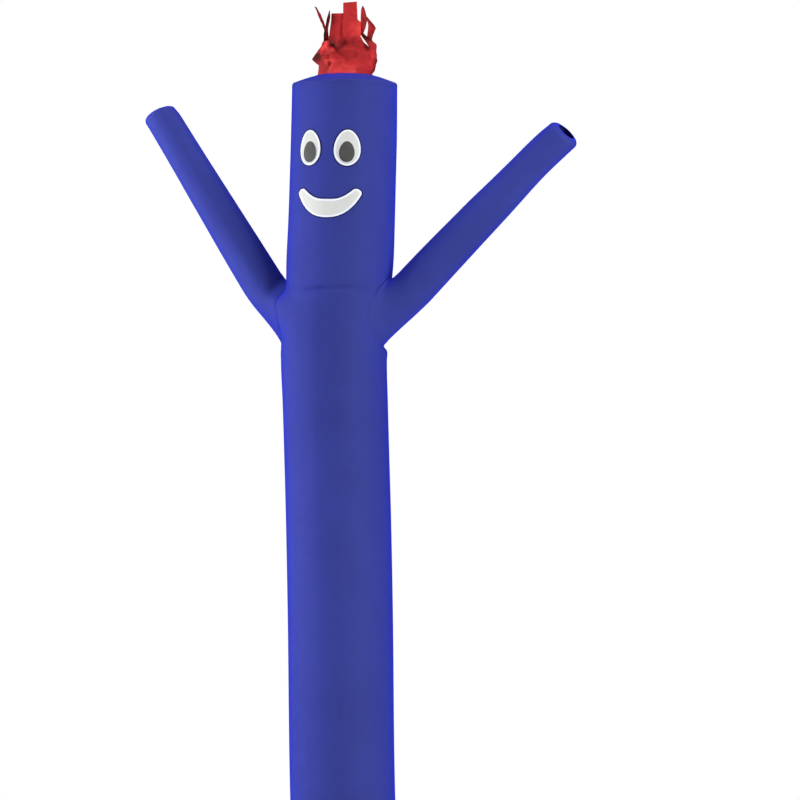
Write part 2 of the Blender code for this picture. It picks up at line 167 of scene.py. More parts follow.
def bridge(t, start, leave, end, arrive):
    """The cubic curve over t from 0 to 1 that leaves one value and arrives at another, each at its own
    slope: (2 t^3 - 3 t^2 + 1) start + (t^3 - 2 t^2 + t) leave, and the same from the other end."""
    return (
        (2 * t**3 - 3 * t**2 + 1) * start
        + (t**3 - 2 * t**2 + t) * leave
        + (3 * t**2 - 2 * t**3) * end
        + (t**3 - t**2) * arrive
    )


def along_tube(height, column):
    """A column of TUBE at heights: the cubic curve through the rows, whose slope at a row is that of
    the line between its neighbours, and level at both ends."""
    rows = np.array([row.height for row in TUBE])
    values = np.array([getattr(row, column) for row in TUBE])
    slopes = np.zeros_like(values)
    slopes[1:-1] = (values[2:] - values[:-2]) / (rows[2:] - rows[:-2])
    low = np.clip(np.searchsorted(rows, height, side="right") - 1, 0, len(rows) - 2)
    span = rows[low + 1] - rows[low]
    t = (height - rows[low]) / span
    return bridge(t, values[low], span * slopes[low], values[low + 1], span * slopes[low + 1])


def round_tube(bearing, height, reach):
    """Points at a bearing and height, that far from the tube's leaning centreline."""
    turn = np.radians(bearing)
    x = along_tube(height, "lean_x") + reach * np.sin(turn)
    y = along_tube(height, "lean_y") - reach * np.cos(turn)
    return np.stack([x, y, height + 0 * turn], -1)


def outwards(bearing):
    """The level direction out of the tube at a bearing."""
    turn = np.radians(bearing)
    return np.stack([np.sin(turn), -np.cos(turn), 0 * turn], -1)


def away_from(bearing, middle):
    """The signed way round from one bearing to another, from -180 to 180 degrees."""
    return (bearing - middle + 180) % 360 - 180


def mesh_piece(name, points, faces, uv=None, fold=None):
    """A new object from an array of points, one of four-cornered faces, and one of their UVs. fold says
    how far each point stands on a fold, from -1 in its valley to 1 on its crown; the cloth materials turn it
    into painted shade in the valleys and a painted highlight on the crowns."""
    used, faces = np.unique(faces, return_inverse=True)
    faces = faces.reshape(-1, 4)
    points = np.asarray(points).reshape(-1, 3)[used]
    mesh = bpy.data.meshes.new(name)
    mesh.vertices.add(len(points))
    mesh.vertices.foreach_set("co", points.astype(np.float32).ravel())
    mesh.loops.add(faces.size)
    mesh.loops.foreach_set("vertex_index", faces.astype(np.int32).ravel())
    mesh.polygons.add(len(faces))
    mesh.polygons.foreach_set("loop_start", np.arange(0, faces.size, 4, dtype=np.int32))
    if uv is not None:
        layer = mesh.uv_layers.new(name="cloth")
        layer.data.foreach_set("uv", np.asarray(uv, dtype=np.float32).ravel())
    if fold is not None:
        layer = mesh.attributes.new("fold", "FLOAT", "POINT")
        layer.data.foreach_set("value", np.ravel(fold)[used].astype(np.float32))
    mesh.update(calc_edges=True)
    mesh.validate()
    mesh.shade_smooth()
    piece = bpy.data.objects.new(name, mesh)
    bpy.context.scene.collection.objects.link(piece)
    return piece


def grid_faces(rows, columns, close_columns=False, close_rows=False):
    """Row and column numbers of the corners of a grid's faces; a closed side counts one past its end."""
    tall = rows if close_rows else rows - 1
    wide = columns if close_columns else columns - 1
    r, c = np.meshgrid(np.arange(tall), np.arange(wide), indexing="ij")
    return np.stack([r, r, r + 1, r + 1], -1), np.stack([c, c + 1, c + 1, c], -1)


def cloth_grid(name, points, across, along, closed=True, keep=None, fold=None):
    """A sheet on a grid of points (rows, columns, 3). across and along are its flat sizes at the
    corners, in metres, one more column than points where the sheet closes on itself."""
    rows, columns = points.shape[:2]
    r, c = grid_faces(rows, columns, close_columns=closed)
    if keep is not None:
        r, c = r[keep], c[keep]
    uv = np.stack([across[r, c], along[r, c]], -1)
    return mesh_piece(name, points, r * columns + c % columns, uv, fold)


def flat_sizes(bearings, heights, reach):
    """How far each corner of a closed round sheet lies across and along the flat cloth."""
    ends = np.append(bearings, bearings[0] + 360)
    return np.meshgrid(np.radians(ends) * reach, heights)


def stations(*stretches):
    """Values through stretches of (start, step), up to the last one's start."""
    parts = [np.arange(a[0], b[0] - a[1] * 0.5, a[1]) for a, b in zip(stretches, stretches[1:])]
    return np.concatenate(parts + [[stretches[-1][0]]])


def spread(stretches):
    """Even values through stretches of (first, last, how many)."""
    return np.concatenate([np.linspace(*stretch) for stretch in stretches])


def give_thickness(piece, thickness, offset=-1.0):
    """A wall inwards from the sheet; its cut edges are square, so that they don't round the shading."""
    mesh = piece.data
    edges = np.empty(len(mesh.loops), dtype=np.int32)
    mesh.loops.foreach_get("edge_index", edges)
    cut = np.bincount(edges, minlength=len(mesh.edges)) == 1
    sharp = mesh.attributes.new("sharp_edge", "BOOLEAN", "EDGE")
    sharp.data.foreach_set("value", cut)
    solid = piece.modifiers.new("thickness", "SOLIDIFY")
    solid.thickness = thickness
    solid.offset = offset
    solid.use_even_offset = False


# ---- Creases ----
def creases(rows, bearing, height, reach):
    """The sum, over rows, of depth times a bell across the crease and a flatter bell along it. Along
    is the arc distance from the crease's middle, turned by its slant, and across is at right angles."""
    total = 0 * bearing * height
    for middle, level, length, width, slant, depth in rows:
        arc = np.radians(away_from(bearing, middle)) * reach
        rise = height - level
        slant = math.radians(slant)
        along = arc * math.cos(slant) + rise * math.sin(slant)
        across = rise * math.cos(slant) - arc * math.sin(slant)
        total = total + depth * bell(across / width) * np.exp(-((along / length) ** 4))
    return total


# Each crease's bearing, height, half length, half width, slant in degrees, and depth (in is below 0).
# On an arm they are its turn, with 0 to the front and 90 on top, and the way along from the root.
TUBE_CREASES = [
    # the soft fold across the chest, where the head's tube bends on the shoulders
    (-10, 2.2275, 0.030, 0.0062, 2, -0.0034),
    (16, 2.2290, 0.060, 0.0090, 2, -0.0030),
    (-25, 2.2468, 0.060, 0.0050, 2, -0.0010),
    (-10, 2.2390, 0.035, 0.0060, 2, 0.0022),
    (-6, 2.2150, 0.080, 0.0080, 0, 0.0018),
    # the pull from the raised arms
    (48, 2.2240, 0.026, 0.0070, 42, -0.0016),
    (54, 2.0730, 0.052, 0.0045, 0, -0.0022),
    # the sharp tuck under the left arm, and the cloth that swells below it
    (108, 2.0635, 0.072, 0.0090, -3, -0.0105),
    (100, 2.0420, 0.050, 0.0110, -3, 0.0010),
    # soft folds beside the right arm, across the back and behind both arms
    (-60, 2.0500, 0.040, 0.0100, 20, 0.0008),
    (-52, 2.2500, 0.030, 0.0080, -35, 0.0010),
    (172, 2.2300, 0.090, 0.0060, 2, -0.0022),
    (140, 2.2150, 0.050, 0.0070, -24, 0.0014),
    (-140, 2.2120, 0.050, 0.0070, 26, 0.0014),
    (120, 2.0650, 0.040, 0.0070, -12, -0.0012),
    (-122, 2.0600, 0.045, 0.0070, 14, -0.0012),
]
Puff = namedtuple("Puff", "bearing height spread above below push")
PUFFS = [
    # the chest, where it swells out before each arm
    Puff(-70, 2.180, 22, 0.056, 0.100, 0.030),
    Puff(64, 2.180, 22, 0.050, 0.100, 0.005),
]
FULL_FOLD = 0.012  # the depth of a crease whose valley is wholly in shade
SEAM_WIDTH = 0.009  # of a felled seam, lapped and sewn twice
SEAM_RISE = 0.0006
SEAM_EDGE = 0.0015  # width over which a seam's band falls off
CROSS_RISE = SEAM_RISE * 0.2  # the seam across the shoulders is pulled flat
CROSS_EDGE = 0.003
HEM_EDGE = 0.002
PUCKER, PUCKER_WIDTH, PUCKER_COUNT = 0.0005, 0.012, 46  # above the hem's stitches
BACK = 180  # the bearing of the tube's lengthwise seam
NEAR_SEAM = (-3.4, -2.1, -1.75, -1.4, -1.0, 0.0, 1.0, 1.4, 1.75, 2.1, 3.4)  # bearings from it
SEAM_CLEAR = 4  # degrees to either side of it that hold no other bearings
BILLOW = 0.00022
# Long soft swells of the inflated cloth, as shares of that: waves round it that drift as they rise.
BILLOWS = [(1.0, 7, 1.3, 0.0), (0.9, 11, -2.1, 0.8), (0.8, 17, 0.9, 2.0), (0.6, 4, 5.0, 0.0)]


def tube_reach(bearing, height):
    """The cloth's distance from the centreline: TUBE's radius, with swells, creases and the raised
    bands of the seams. Each band is level across the seam and falls off softly at its edges."""
    radius = along_tube(height, "radius")
    reach = radius + BILLOW * with_waves(0, BILLOWS, np.radians(bearing), height)
    reach = reach + creases(TUBE_CREASES, bearing, height, radius)
    for puff in PUFFS:
        up = (height - puff.height) / np.where(height > puff.height, puff.above, -puff.below)
        reach = reach + puff.push * bell(away_from(bearing, puff.bearing) / puff.spread) * soft(1 - up)
    cross = np.abs(height - SHOULDER_SEAM)
    back = np.abs(np.radians(away_from(bearing, BACK)) * radius)
    for distance, rise, edge in ((cross, CROSS_RISE, CROSS_EDGE), (back, SEAM_RISE, SEAM_EDGE)):
        reach = reach + rise * soft((SEAM_WIDTH / 2 - distance) / edge)
    hem = soft((HEM_WIDTH - height) / HEM_EDGE) * HEM_EXTRA
    pucker = PUCKER * bell((height - HEM_WIDTH) / PUCKER_WIDTH) * np.sin(np.radians(bearing) * PUCKER_COUNT)
    return reach + hem + pucker


def bearings_round(count):
    """Even bearings, with closer ones beside the lengthwise seam."""
    even = np.linspace(-180, 180, count, endpoint=False)
    clear = np.abs(away_from(even, BACK)) > SEAM_CLEAR
    return np.sort(np.concatenate([even[clear], away_from(BACK + np.array(NEAR_SEAM), 0)]))


def inside_arm_hole(bearing, height):
    """True inside the oval under each arm's foot."""
    inside = np.zeros(np.broadcast(bearing, height).shape, dtype=bool)
    for arm in ARMS:
        across = np.radians(away_from(bearing, 90 * arm.side)) * along_tube(FOOT_HEIGHT, "radius")
        oval = (across / (FOOT_HALF_WIDTH - FOOT_LAP)) ** 2
        oval = oval + ((height - FOOT_HEIGHT) / (FOOT_HALF_HEIGHT - FOOT_LAP)) ** 2
        inside |= oval < 1
    return inside


FLAT_RADIUS = along_tube(1.0, "radius")  # of the tube that the cloth was cut for


def tube_cloth(name, heights, columns):
    """A stretch of the tube as one sheet, cut away under the arms' feet."""
    bearings = bearings_round(columns)
    b, h = np.meshgrid(bearings, heights)
    points = round_tube(b, h, tube_reach(b, h))
    across, along = flat_sizes(bearings, heights, FLAT_RADIUS)
    middle_b = (bearings + np.append(bearings[1:], bearings[0] + 360)) / 2
    middle_h = (heights[:-1] + heights[1:]) / 2
    keep = ~inside_arm_hole(middle_b[None, :], middle_h[:, None])
    # fold paints shade into the creases' valleys and a faint highlight onto their ridges.
    fold = np.clip(creases(TUBE_CREASES, b, h, along_tube(h, "radius")) / FULL_FOLD, -1, 1)
    return cloth_grid(name, points, across, along, keep=keep, fold=fold)


# Heights and the step upwards from each: closer at the hem, the shoulders and the seam.
BODY_ROWS = (
    (0.0, 0.0035), (0.021, 0.0015), (0.030, 0.018), (1.92, 0.0055), (2.214, 0.0012), (SHOULDER_SEAM, 0),
)
BODY_COLUMNS = 236
HEAD_ROWS = ((SHOULDER_SEAM, 0.0012), (2.242, 0.0020), (2.254, 0.0050), (CROWN_SEAM, 0))
HEAD_COLUMNS = 270


# ---- Crown ----
CROWN_COLUMNS = 288
CROWN_SHARES = ((0, RIM_SHARE, 12), (0.25, 0.88, 22), (0.9, 1, 8))  # from, to and how many rows
CROWN_MEAN_RADIUS, CROWN_WIDTH = 0.11, 0.075  # of the panel laid flat, for its weave
# The vent's turned edge, the rim's puckers and the pleats at the vent: how high they stand, at what
# share of the way in, and over how much of it.
VENT_BAND, VENT_BAND_AT, VENT_BAND_EDGE = 0.0006, 0.9, 0.02
RIM_PUCKER, RIM_PUCKER_AT, RIM_PUCKER_WIDTH, RIM_PLEATS = 0.0004, 0.2, 0.12, (41, 0.4, 3)
VENT_PLEAT, VENT_PLEAT_AT, VENT_PLEAT_GROWS = 0.0004, 0.3, 0.5
VENT_PLEATS = [(1, 13, 0, 1), (0.7, 22, 0, 0)]


def crown_section(share):
    """Radius and height of the top panel: a quarter-round rim, less its slope, then a parabola down
    which the slope shrinks evenly to the middle. share is 0 at the seam and 1 at the vent."""

    def rim(turn):
        """The rounded rim at a turn up from level."""
        radius = along_tube(CROWN_SEAM, "radius") - RIM_ROUND + RIM_ROUND * np.cos(turn)
        return radius, CROWN_SEAM + RIM_ROUND * np.sin(turn)

    last = math.radians(90 - RIM_SLOPE)
    rim_r, rim_z = rim(last * np.clip(share / RIM_SHARE, 0, 1))
    start, foot = rim(last)
    bend = math.tan(math.radians(RIM_SLOPE)) / (2 * start)
    dome_r = start + (VENT_RADIUS - start) * (share - RIM_SHARE) / (1 - RIM_SHARE)
    dome_z = foot + bend * (start**2 - dome_r**2)
    on_rim = share < RIM_SHARE
    return np.where(on_rim, rim_r, dome_r), np.where(on_rim, rim_z, dome_z)


def crown_points(bearing, share):
    """The top panel, with short puckers at its rim and soft pleats that run in to the vent."""
    radius, height = crown_section(share)
    turn = np.radians(bearing)
    pucker = RIM_PUCKER * bell((share - RIM_PUCKER_AT) / RIM_PUCKER_WIDTH) * pleats(turn, *RIM_PLEATS)
    growth = soft((share - VENT_PLEAT_AT) / VENT_PLEAT_GROWS)
    pleat = VENT_PLEAT * growth * with_waves(0, VENT_PLEATS, turn, 0)
    vent_band = VENT_BAND * soft((share - VENT_BAND_AT) / VENT_BAND_EDGE)
    lean = np.stack([along_tube(height, "lean_x"), along_tube(height, "lean_y"), 0 * radius], -1)
    points = outwards(bearing) * radius[..., None] + lean
    points[..., 2] = height + pucker + pleat + vent_band
    return points


def crown_cloth():
    """The top panel on a grid of bearings and of shares of the way in."""
    bearings = np.linspace(-180, 180, CROWN_COLUMNS, endpoint=False)
    shares = spread(CROWN_SHARES)
    b, s = np.meshgrid(bearings, shares)
    across, along = flat_sizes(bearings, shares * CROWN_WIDTH, CROWN_MEAN_RADIUS)
    return cloth_grid("crown_cloth", crown_points(b, s), across, along)


# ---- Arms ----
ARM_STRAIGHT = ARM_LENGTH - MOUTH_DEPTH  # the sleeve, up to where it is drawn in
FOOT_ABOVE = 0.0002  # the foot's clearance off the tube's cloth
FOLD_ENDS = 0.02  # over which the foot's folds fade out
FOOT_INNER = 0.9  # size of a smaller foot, which shows the way inwards over the wall
# The mouth's small pleats: how high they stand, how far before the mouth they start and grow.
GATHER, GATHER_AHEAD, GATHER_GROWS, GATHER_PLEATS = 0.0007, 0.012, 0.02, (26, 0.5, 4)
MOUTH_BAND, MOUTH_BAND_AT = 0.0005, MOUTH_DEPTH * 0.55  # its turned edge
ARM_BILLOWS = [(0.00025, 5, 9, 0), (0.0002, 9, -6, 1)]  # waves round the sleeve
ARM_COLUMNS = 120
ARM_ROWS = ((0.0, 0.003), (0.015, 0.0055), (FLARE_LENGTH, 0.0075), (ARM_STRAIGHT, 0.0016), (ARM_LENGTH, 0))


def foot_points(arm, turn, size):
    """Points of the oval foot on the tube, at turns round the arm and a share of its full size. Its
    half width grows softly from the sides to the front."""
    ahead = soft(np.clip(np.cos(turn), 0, 1))
    wide = FOOT_HALF_WIDTH + (arm.ahead - FOOT_HALF_WIDTH) * ahead
    round_share = wide / along_tube(FOOT_HEIGHT, "radius")
    bearing = arm.side * (90 - np.degrees(size * round_share * np.cos(turn)))
    height = FOOT_HEIGHT + size * FOOT_HALF_HEIGHT * np.sin(turn)
    return round_tube(bearing, height, tube_reach(bearing, height) + FOOT_ABOVE)


def arm_frame(arm):
    """Where the arm's middle line meets the wall, the way that it points, and its front and top."""
    way = np.array([arm.side * arm.out, arm.back, arm.up])
    way /= np.linalg.norm(way)
    front = -arm.side * np.cross([0, 0, 1], way)
    front /= np.linalg.norm(front)
    top = -arm.side * np.cross(way, front)
    height = FOOT_HEIGHT - arm.low
    bearing = 90.0 * arm.side
    root = round_tube(bearing, height, along_tube(height, "radius"))
    return root, way, front, top


def sleeve_radius(along):
    """Widens softly from the tip's radius to the root's."""
    share = (ARM_LENGTH - along) / ARM_LENGTH / ARM_WIDENS
    return ARM_TIP_RADIUS + (ARM_ROOT_RADIUS - ARM_TIP_RADIUS) * soft(share)


FOOT_CREASES = {
    "arm_right": [(62, 0.060, 0.050, 0.026, -10, -0.005)],
    "arm_left": [(62, 0.022, 0.042, 0.013, -6, 0.0055)],
}
ARM_CREASES = {
    "arm_right": [
        (200, 0.150, 0.050, 0.012, 60, 0.0010),
        (60, 0.200, 0.070, 0.012, 75, -0.0008),
        (250, 0.330, 0.090, 0.010, 80, 0.0007),
        (20, 0.420, 0.080, 0.012, -70, 0.0008),
        (310, 0.520, 0.090, 0.010, 82, 0.0006),
        (140, 0.600, 0.060, 0.010, -76, -0.0006),
        (90, 0.728, 0.050, 0.022, 0, -0.0042),
    ],
    "arm_left": [
        (160, 0.140, 0.050, 0.012, -60, 0.0010),
        (20, 0.220, 0.080, 0.012, 78, -0.0007),
        (300, 0.300, 0.090, 0.010, -80, 0.0007),
        (80, 0.430, 0.080, 0.012, 74, 0.0007),
        (220, 0.520, 0.090, 0.010, -82, 0.0006),
        (340, 0.620, 0.060, 0.010, 70, -0.0006),
        (270, 0.600, 0.080, 0.100, 0, -0.0040),
        (90, 0.640, 0.060, 0.060, 0, 0.0012),
        (90, 0.730, 0.050, 0.030, 0, -0.0036),
    ],
}


def arm_points(arm, turn, along):
    """The arm's cloth. Up to the flare's length it is the cubic curve from the foot, leaving it partly
    along the wall, to the sleeve; then circles round the middle line, which bows as a parabola; and
    past the sleeve a quarter round that draws in to the mouth, gathered in small pleats."""
    root, way, front, top = arm_frame(arm)
    spoke = front * np.cos(turn)[..., None] + top * np.sin(turn)[..., None]

    def ring(distance, radius):
        """Points that far from the arm's middle line, at a distance along it."""
        share = distance / ARM_LENGTH
        centre = root + way * distance[..., None]
        centre = centre + top * (arm.bow * 4 * share * (1 - share))[..., None]
        return centre + spoke * radius[..., None]

    def creased(distance):
        """The relief of the sleeve's creases."""
        return creases(ARM_CREASES[arm.name], np.degrees(turn), distance, ARM_TIP_RADIUS)

    past = np.clip((along - ARM_STRAIGHT) / MOUTH_DEPTH, 0, 1) * math.pi / 2
    drawn = (ARM_TIP_RADIUS - MOUTH_RADIUS) * (1 - np.cos(past))
    body = np.minimum(along, ARM_STRAIGHT)
    reach = sleeve_radius(body) - drawn
    relief = with_waves(creased(body), ARM_BILLOWS, turn, body)
    growth = soft((along - ARM_STRAIGHT + GATHER_AHEAD) / GATHER_GROWS)
    gather = GATHER * growth * pleats(turn, *GATHER_PLEATS)
    hem_band = MOUTH_BAND * soft((along - ARM_STRAIGHT - MOUTH_BAND_AT) / HEM_EDGE)
    aslant = arm.slant * (1 + np.cos(turn - math.radians(arm.slant_turn))) / 2
    aslant = aslant * soft((along - ARM_LENGTH + SLANT_LENGTH) / SLANT_LENGTH)
    sleeve = ring(body + aslant + MOUTH_DEPTH * np.sin(past), reach + relief + gather + hem_band)

    t = np.clip(along / FLARE_LENGTH, 0, 1)[..., None]
    foot = foot_points(arm, turn, 1.0)
    level = np.full_like(along, FLARE_LENGTH)
    end = ring(level, sleeve_radius(level) + creased(level))
    pull = np.linalg.norm(end - foot, axis=-1, keepdims=True)
    inward = foot_points(arm, turn, FOOT_INNER) - foot
    inward = inward / np.linalg.norm(inward, axis=-1, keepdims=True) * pull
    hug = FOOT_HUG + (arm.hug - FOOT_HUG) * np.abs(np.cos(turn))[..., None]
    leave = inward * hug + (end - foot) * (1 - hug)
    fold = creases(FOOT_CREASES[arm.name], np.degrees(turn), along, ARM_ROOT_RADIUS)
    fold = fold * soft(along / FOLD_ENDS) * soft((FLARE_LENGTH - along) / FOLD_ENDS)
    flare = bridge(t, foot, leave, end, pull * way) + spoke * fold[..., None]
    return np.where(along[..., None] < FLARE_LENGTH, flare, sleeve)


def arm_cloth(arm):
    """An arm on a grid of turns and of ways along it. The left one runs the other way round, so its
    faces are turned."""
    turns = np.linspace(0, 2 * math.pi, ARM_COLUMNS, endpoint=False)
    along = stations(*ARM_ROWS)
    a, d = np.meshgrid(turns, along)
    across, down = flat_sizes(np.degrees(turns), along, ARM_ROOT_RADIUS)
    piece = cloth_grid(arm.name + "_cloth", arm_points(arm, a, d), across, down)
    if arm.side > 0:
        piece.data.flip_normals()
    return piece


# ---- Face ----
PATCH_ABOVE = 0.0004  # clearance of a sewn-on patch off the head's cloth
PATCH_THICK = 0.0008
PATCH_PUFF = 0.0007  # how far a patch swells between its stitched edges
BORDER = (0.0055, 0.0009)  # width and rise of a patch's stitched border
PUPIL_BORDER = (0.0048, 0.0006)
BORDER_OUT = 0.0006  # how far a border reaches past its patch
BORDER_MIDDLE = 0.9  # height of its middle, as a share of its rise
BORDER_RING = 14  # points round its section
EGG_GRID = (33, 45)  # corners across and up
# Places along the smile, for its edge and for its grid, and the grid's corners across it.
SMILE_OUTLINE = ((-2, -1, 12), (-0.97, 0.97, 66), (1, 2, 12))
SMILE_COLUMNS, SMILE_ROWS = ((-2, -1.1, 9), (-1, 1, 72), (1.1, 2, 9)), 21
EYE_OUTLINE, PUPIL_OUTLINE = 160, 120  # points round them
SHADE_BAND_OUT = 0.0032  # from a patch's outline to the dark band of painted shade round it
SHADE_BAND_PLACE = (0.0001, 0.0040, 0.0005)  # that band's place above the cloth, width and rise
NEARLY = 0.996  # share of the way to a point where an outline would close on one place


def egg(half, across, up):
    """Places in an oval of half sizes, narrower above: across and up run from -1 to 1, up as the sine
    of a quarter turn, and the width there as its cosine, less a share that grows upwards."""
    turn = up * math.pi / 2 * NEARLY
    width = half[0] * np.cos(turn) * (1 - EGG_TAPER * np.sin(turn))
    return np.stack([across * width, half[1] * np.sin(turn) + 0 * across], -1)


def egg_outline(half, count):
    """The oval's edge, anticlockwise."""
    turn = np.linspace(0, 2 * math.pi, count, endpoint=False)
    across = half[0] * np.cos(turn) * (1 - EGG_TAPER * np.sin(turn))
    return np.stack([across, half[1] * np.sin(turn)], -1)


def crescent(across, along):
    """Places in the smile. along is -1 to 1 on a line that rises as a power of its distance from the
    middle, with a half depth that shrinks as 1 - along^2, and runs on past each end for a quarter turn
    of the oval tip; across is -1 to 1 over its depth."""
    share = np.clip(along, -1, 1)
    cap = np.sign(along) * np.clip(np.abs(along) - 1, 0, 1) * math.pi / 2 * NEARLY
    steep = SMILE_POWER * SMILE_RISE * np.sign(share) * np.abs(share) ** (SMILE_POWER - 1)
    slope = np.arctan2(steep, SMILE_HALF_WIDTH)
    depth = (SMILE_END + (SMILE_MIDDLE - SMILE_END) * (1 - share**2)) * np.cos(cap)
    reach = SMILE_TIP * np.sin(cap)
    rise = SMILE_RISE * np.abs(share) ** SMILE_POWER + SMILE_TILT * share
    x = SMILE_HALF_WIDTH * share + reach * np.cos(slope) - across * depth * np.sin(slope)
    y = rise + reach * np.sin(slope) + across * depth * np.cos(slope)
    return np.stack([x, y], -1)


def crescent_outline():
    """The smile's edge, anticlockwise from its lower left."""
    along = spread(SMILE_OUTLINE)
    lower = crescent(-1.0, along)
    upper = crescent(1.0, along[::-1])
    return np.concatenate([lower, upper[1:-1]])


def on_face(flat, bearing, height, above):
    """Puts flat places (across, up) on the head, seen square on at the bearing: the way round is the
    arc whose sine is across over the radius."""
    high = height + flat[..., 1]
    aim = bearing + np.degrees(np.arcsin(flat[..., 0] / along_tube(high, "radius")))
    return round_tube(aim, high, tube_reach(aim, high) + above)


def patch(name, flat, bearing, height, above, rows_share, columns_share):
    """A patch on a grid of flat places. It swells as (1 - rows^4)(1 - columns^4) of its puff."""
    swell = PATCH_PUFF * (1 - rows_share**4) * (1 - columns_share**4)
    points = on_face(flat, bearing, height, above + PATCH_THICK + swell)
    piece = cloth_grid(name, points, flat[..., 0], flat[..., 1], closed=False)
    give_thickness(piece, PATCH_THICK)
    return piece


def egg_patch(name, half, bearing, height, above):
    """An oval patch, on a grid of its width and height."""
    across, up = np.meshgrid(*(np.linspace(-1, 1, count) for count in EGG_GRID))
    return patch(name, egg(half, across, up), bearing, height, above, up, across)


def smile_patch(name, bearing, height, above):
    """The smile's grid runs right to left along it, so that it faces out."""
    a, c = np.meshgrid(spread(SMILE_COLUMNS), np.linspace(-1, 1, SMILE_ROWS))
    return patch(name, crescent(c, a), bearing, height, above, c, a / 2)


def way_out(outline):
    """The outward way at each place of an outline: its direction, turned a quarter to the right."""
    ahead = np.roll(outline, -1, 0) - np.roll(outline, 1, 0)
    return np.stack([ahead[:, 1], -ahead[:, 0]], -1) / np.linalg.norm(ahead, axis=1, keepdims=True)


def edging(name, outline, bearing, height, above, width, rise):
    """A close zigzag border: an oval section carried round a closed outline, just inside it."""
    step = np.linalg.norm(np.roll(outline, -1, 0) - outline, axis=1)
    turn = np.linspace(0, 2 * math.pi, BORDER_RING, endpoint=False)
    shift = width / 2 * (np.cos(turn) - 1) + BORDER_OUT
    flat = outline[None] + way_out(outline)[None] * shift[:, None, None]
    lift = above + rise * (BORDER_MIDDLE + np.sin(turn))[:, None]
    points = on_face(flat, bearing, height, lift)
    rows, columns = points.shape[:2]
    r, c = grid_faces(rows, columns, close_columns=True, close_rows=True)
    run = np.concatenate([[0], np.cumsum(step)])
    uv = np.stack([run[c], r * width * 2 / rows], -1)
    piece = mesh_piece(name, points, (r % rows) * columns + c % columns, uv)
    piece.data.flip_normals()
    return piece


# ---- Threads ----
STITCH = 0.0034
STITCH_PITCH = 0.0046
THREAD = 0.00035  # radius
STITCH_ARCH = 0.0003
STITCH_RINGS = ((-1.0, 0.35), (-0.72, 0.9), (0.0, 1.0), (0.72, 0.9), (1.0, 0.35))  # each one's place and size
STITCH_SIDES = 6
BACK_PLACES, ARM_PLACES = 900, 480  # on the paths that the stitches follow
NEARBY = 0.001  # a step along an arm, which shows its cloth's slope
LAP = SEAM_WIDTH / 2 - 0.0014  # from the middle of the back seam to each of its two rows
BODY_RINGS = (0.0035, HEM_WIDTH - 0.003, SHOULDER_SEAM - 0.0032)  # heights of the rows round the body
BODY_BACK = (0.03, SHOULDER_SEAM - 0.006)  # from where to where its back rows run
HEAD_RINGS = (SHOULDER_SEAM + 0.0034, CROWN_SEAM - 0.005)
HEAD_BACK = (SHOULDER_SEAM + 0.006, CROWN_SEAM - 0.007)
CROWN_RINGS = (0.18, 0.93)  # shares of the way in
ARM_RINGS = (0.003, 0.0075, ARM_STRAIGHT + MOUTH_DEPTH * 0.62)  # ways along from the root


def evenly(points, normals, closed):
    """The ends and middles of stitches at an even pitch along a dense path, and the normals there."""
    if closed:
        points = np.concatenate([points, points[:1]])
        normals = np.concatenate([normals, normals[:1]])
    run = np.concatenate([[0], np.cumsum(np.linalg.norm(np.diff(points, axis=0), axis=1))])
    count = max(2, int(run[-1] / STITCH_PITCH))
    at = (np.arange(count) + 0.5) * run[-1] / count
    ends = np.clip(at[:, None] + np.array([-0.5, 0, 0.5]) * STITCH, 0, run[-1])
    place = np.stack([np.interp(ends, run, points[:, k]) for k in range(3)], -1)
    facing = np.stack([np.interp(at, run, normals[:, k]) for k in range(3)], -1)
    return place, facing


def threads(name, rows):
    """Sewing stitches, joined in one mesh. Each is a closed round thread of five rings of six points,
    thin at its ends, which arches above the cloth as 1 - x^2 from end to end."""
    along, size = np.array(STITCH_RINGS).T
    turn = np.radians(360 / STITCH_SIDES * np.arange(STITCH_SIDES))
    all_points = []
    for points, normals, closed in rows:
        place, facing = evenly(points, normals, closed)
        ahead = place[:, 2] - place[:, 0]
        ahead /= np.linalg.norm(ahead, axis=1, keepdims=True)
        facing = facing - ahead * np.sum(facing * ahead, 1, keepdims=True)
        facing /= np.linalg.norm(facing, axis=1, keepdims=True)
        side = np.cross(facing, ahead)
        reach = along[None, :, None, None] * STITCH / 2 * ahead[:, None, None]
        arch = ((1 - along**2) * STITCH_ARCH)[None, :, None, None] * facing[:, None, None]
        ring = np.cos(turn)[None, None, :, None] * side[:, None, None]
        ring = ring + np.sin(turn)[None, None, :, None] * facing[:, None, None]
        ring = ring * (size * THREAD)[None, :, None, None]
        all_points.append((place[:, 1][:, None, None] + reach + arch + ring).reshape(-1, 3))
    points = np.concatenate(all_points)
    r, c = grid_faces(len(along), STITCH_SIDES, close_columns=True)
    tube = (r * STITCH_SIDES + c % STITCH_SIDES).reshape(-1, 4)
    cap = np.array([[0, 1, 2, 3], [0, 3, 4, 5]])
    one = np.concatenate([tube, cap[:, ::-1], cap + (len(along) - 1) * STITCH_SIDES])
    first = np.arange(0, len(points), len(along) * STITCH_SIDES)
    return mesh_piece(name, points, (first[:, None, None] + one[None]).reshape(-1, 4))


ALL_ROUND = np.linspace(-180, 180, 720, endpoint=False)


def ring_row(height):
    """A row of stitches round the tube at a height."""
    level = np.full_like(ALL_ROUND, height)
    return round_tube(ALL_ROUND, level, tube_reach(ALL_ROUND, level)), outwards(ALL_ROUND), True


def back_rows(low, high):
    """The two rows of stitches up the lengthwise seam, to either side of its middle."""
    height = np.linspace(low, high, BACK_PLACES)
    sides = [BACK + np.degrees(shift / along_tube(height, "radius")) for shift in (LAP, -LAP)]
    return [(round_tube(b, height, tube_reach(b, height)), outwards(b), False) for b in sides]


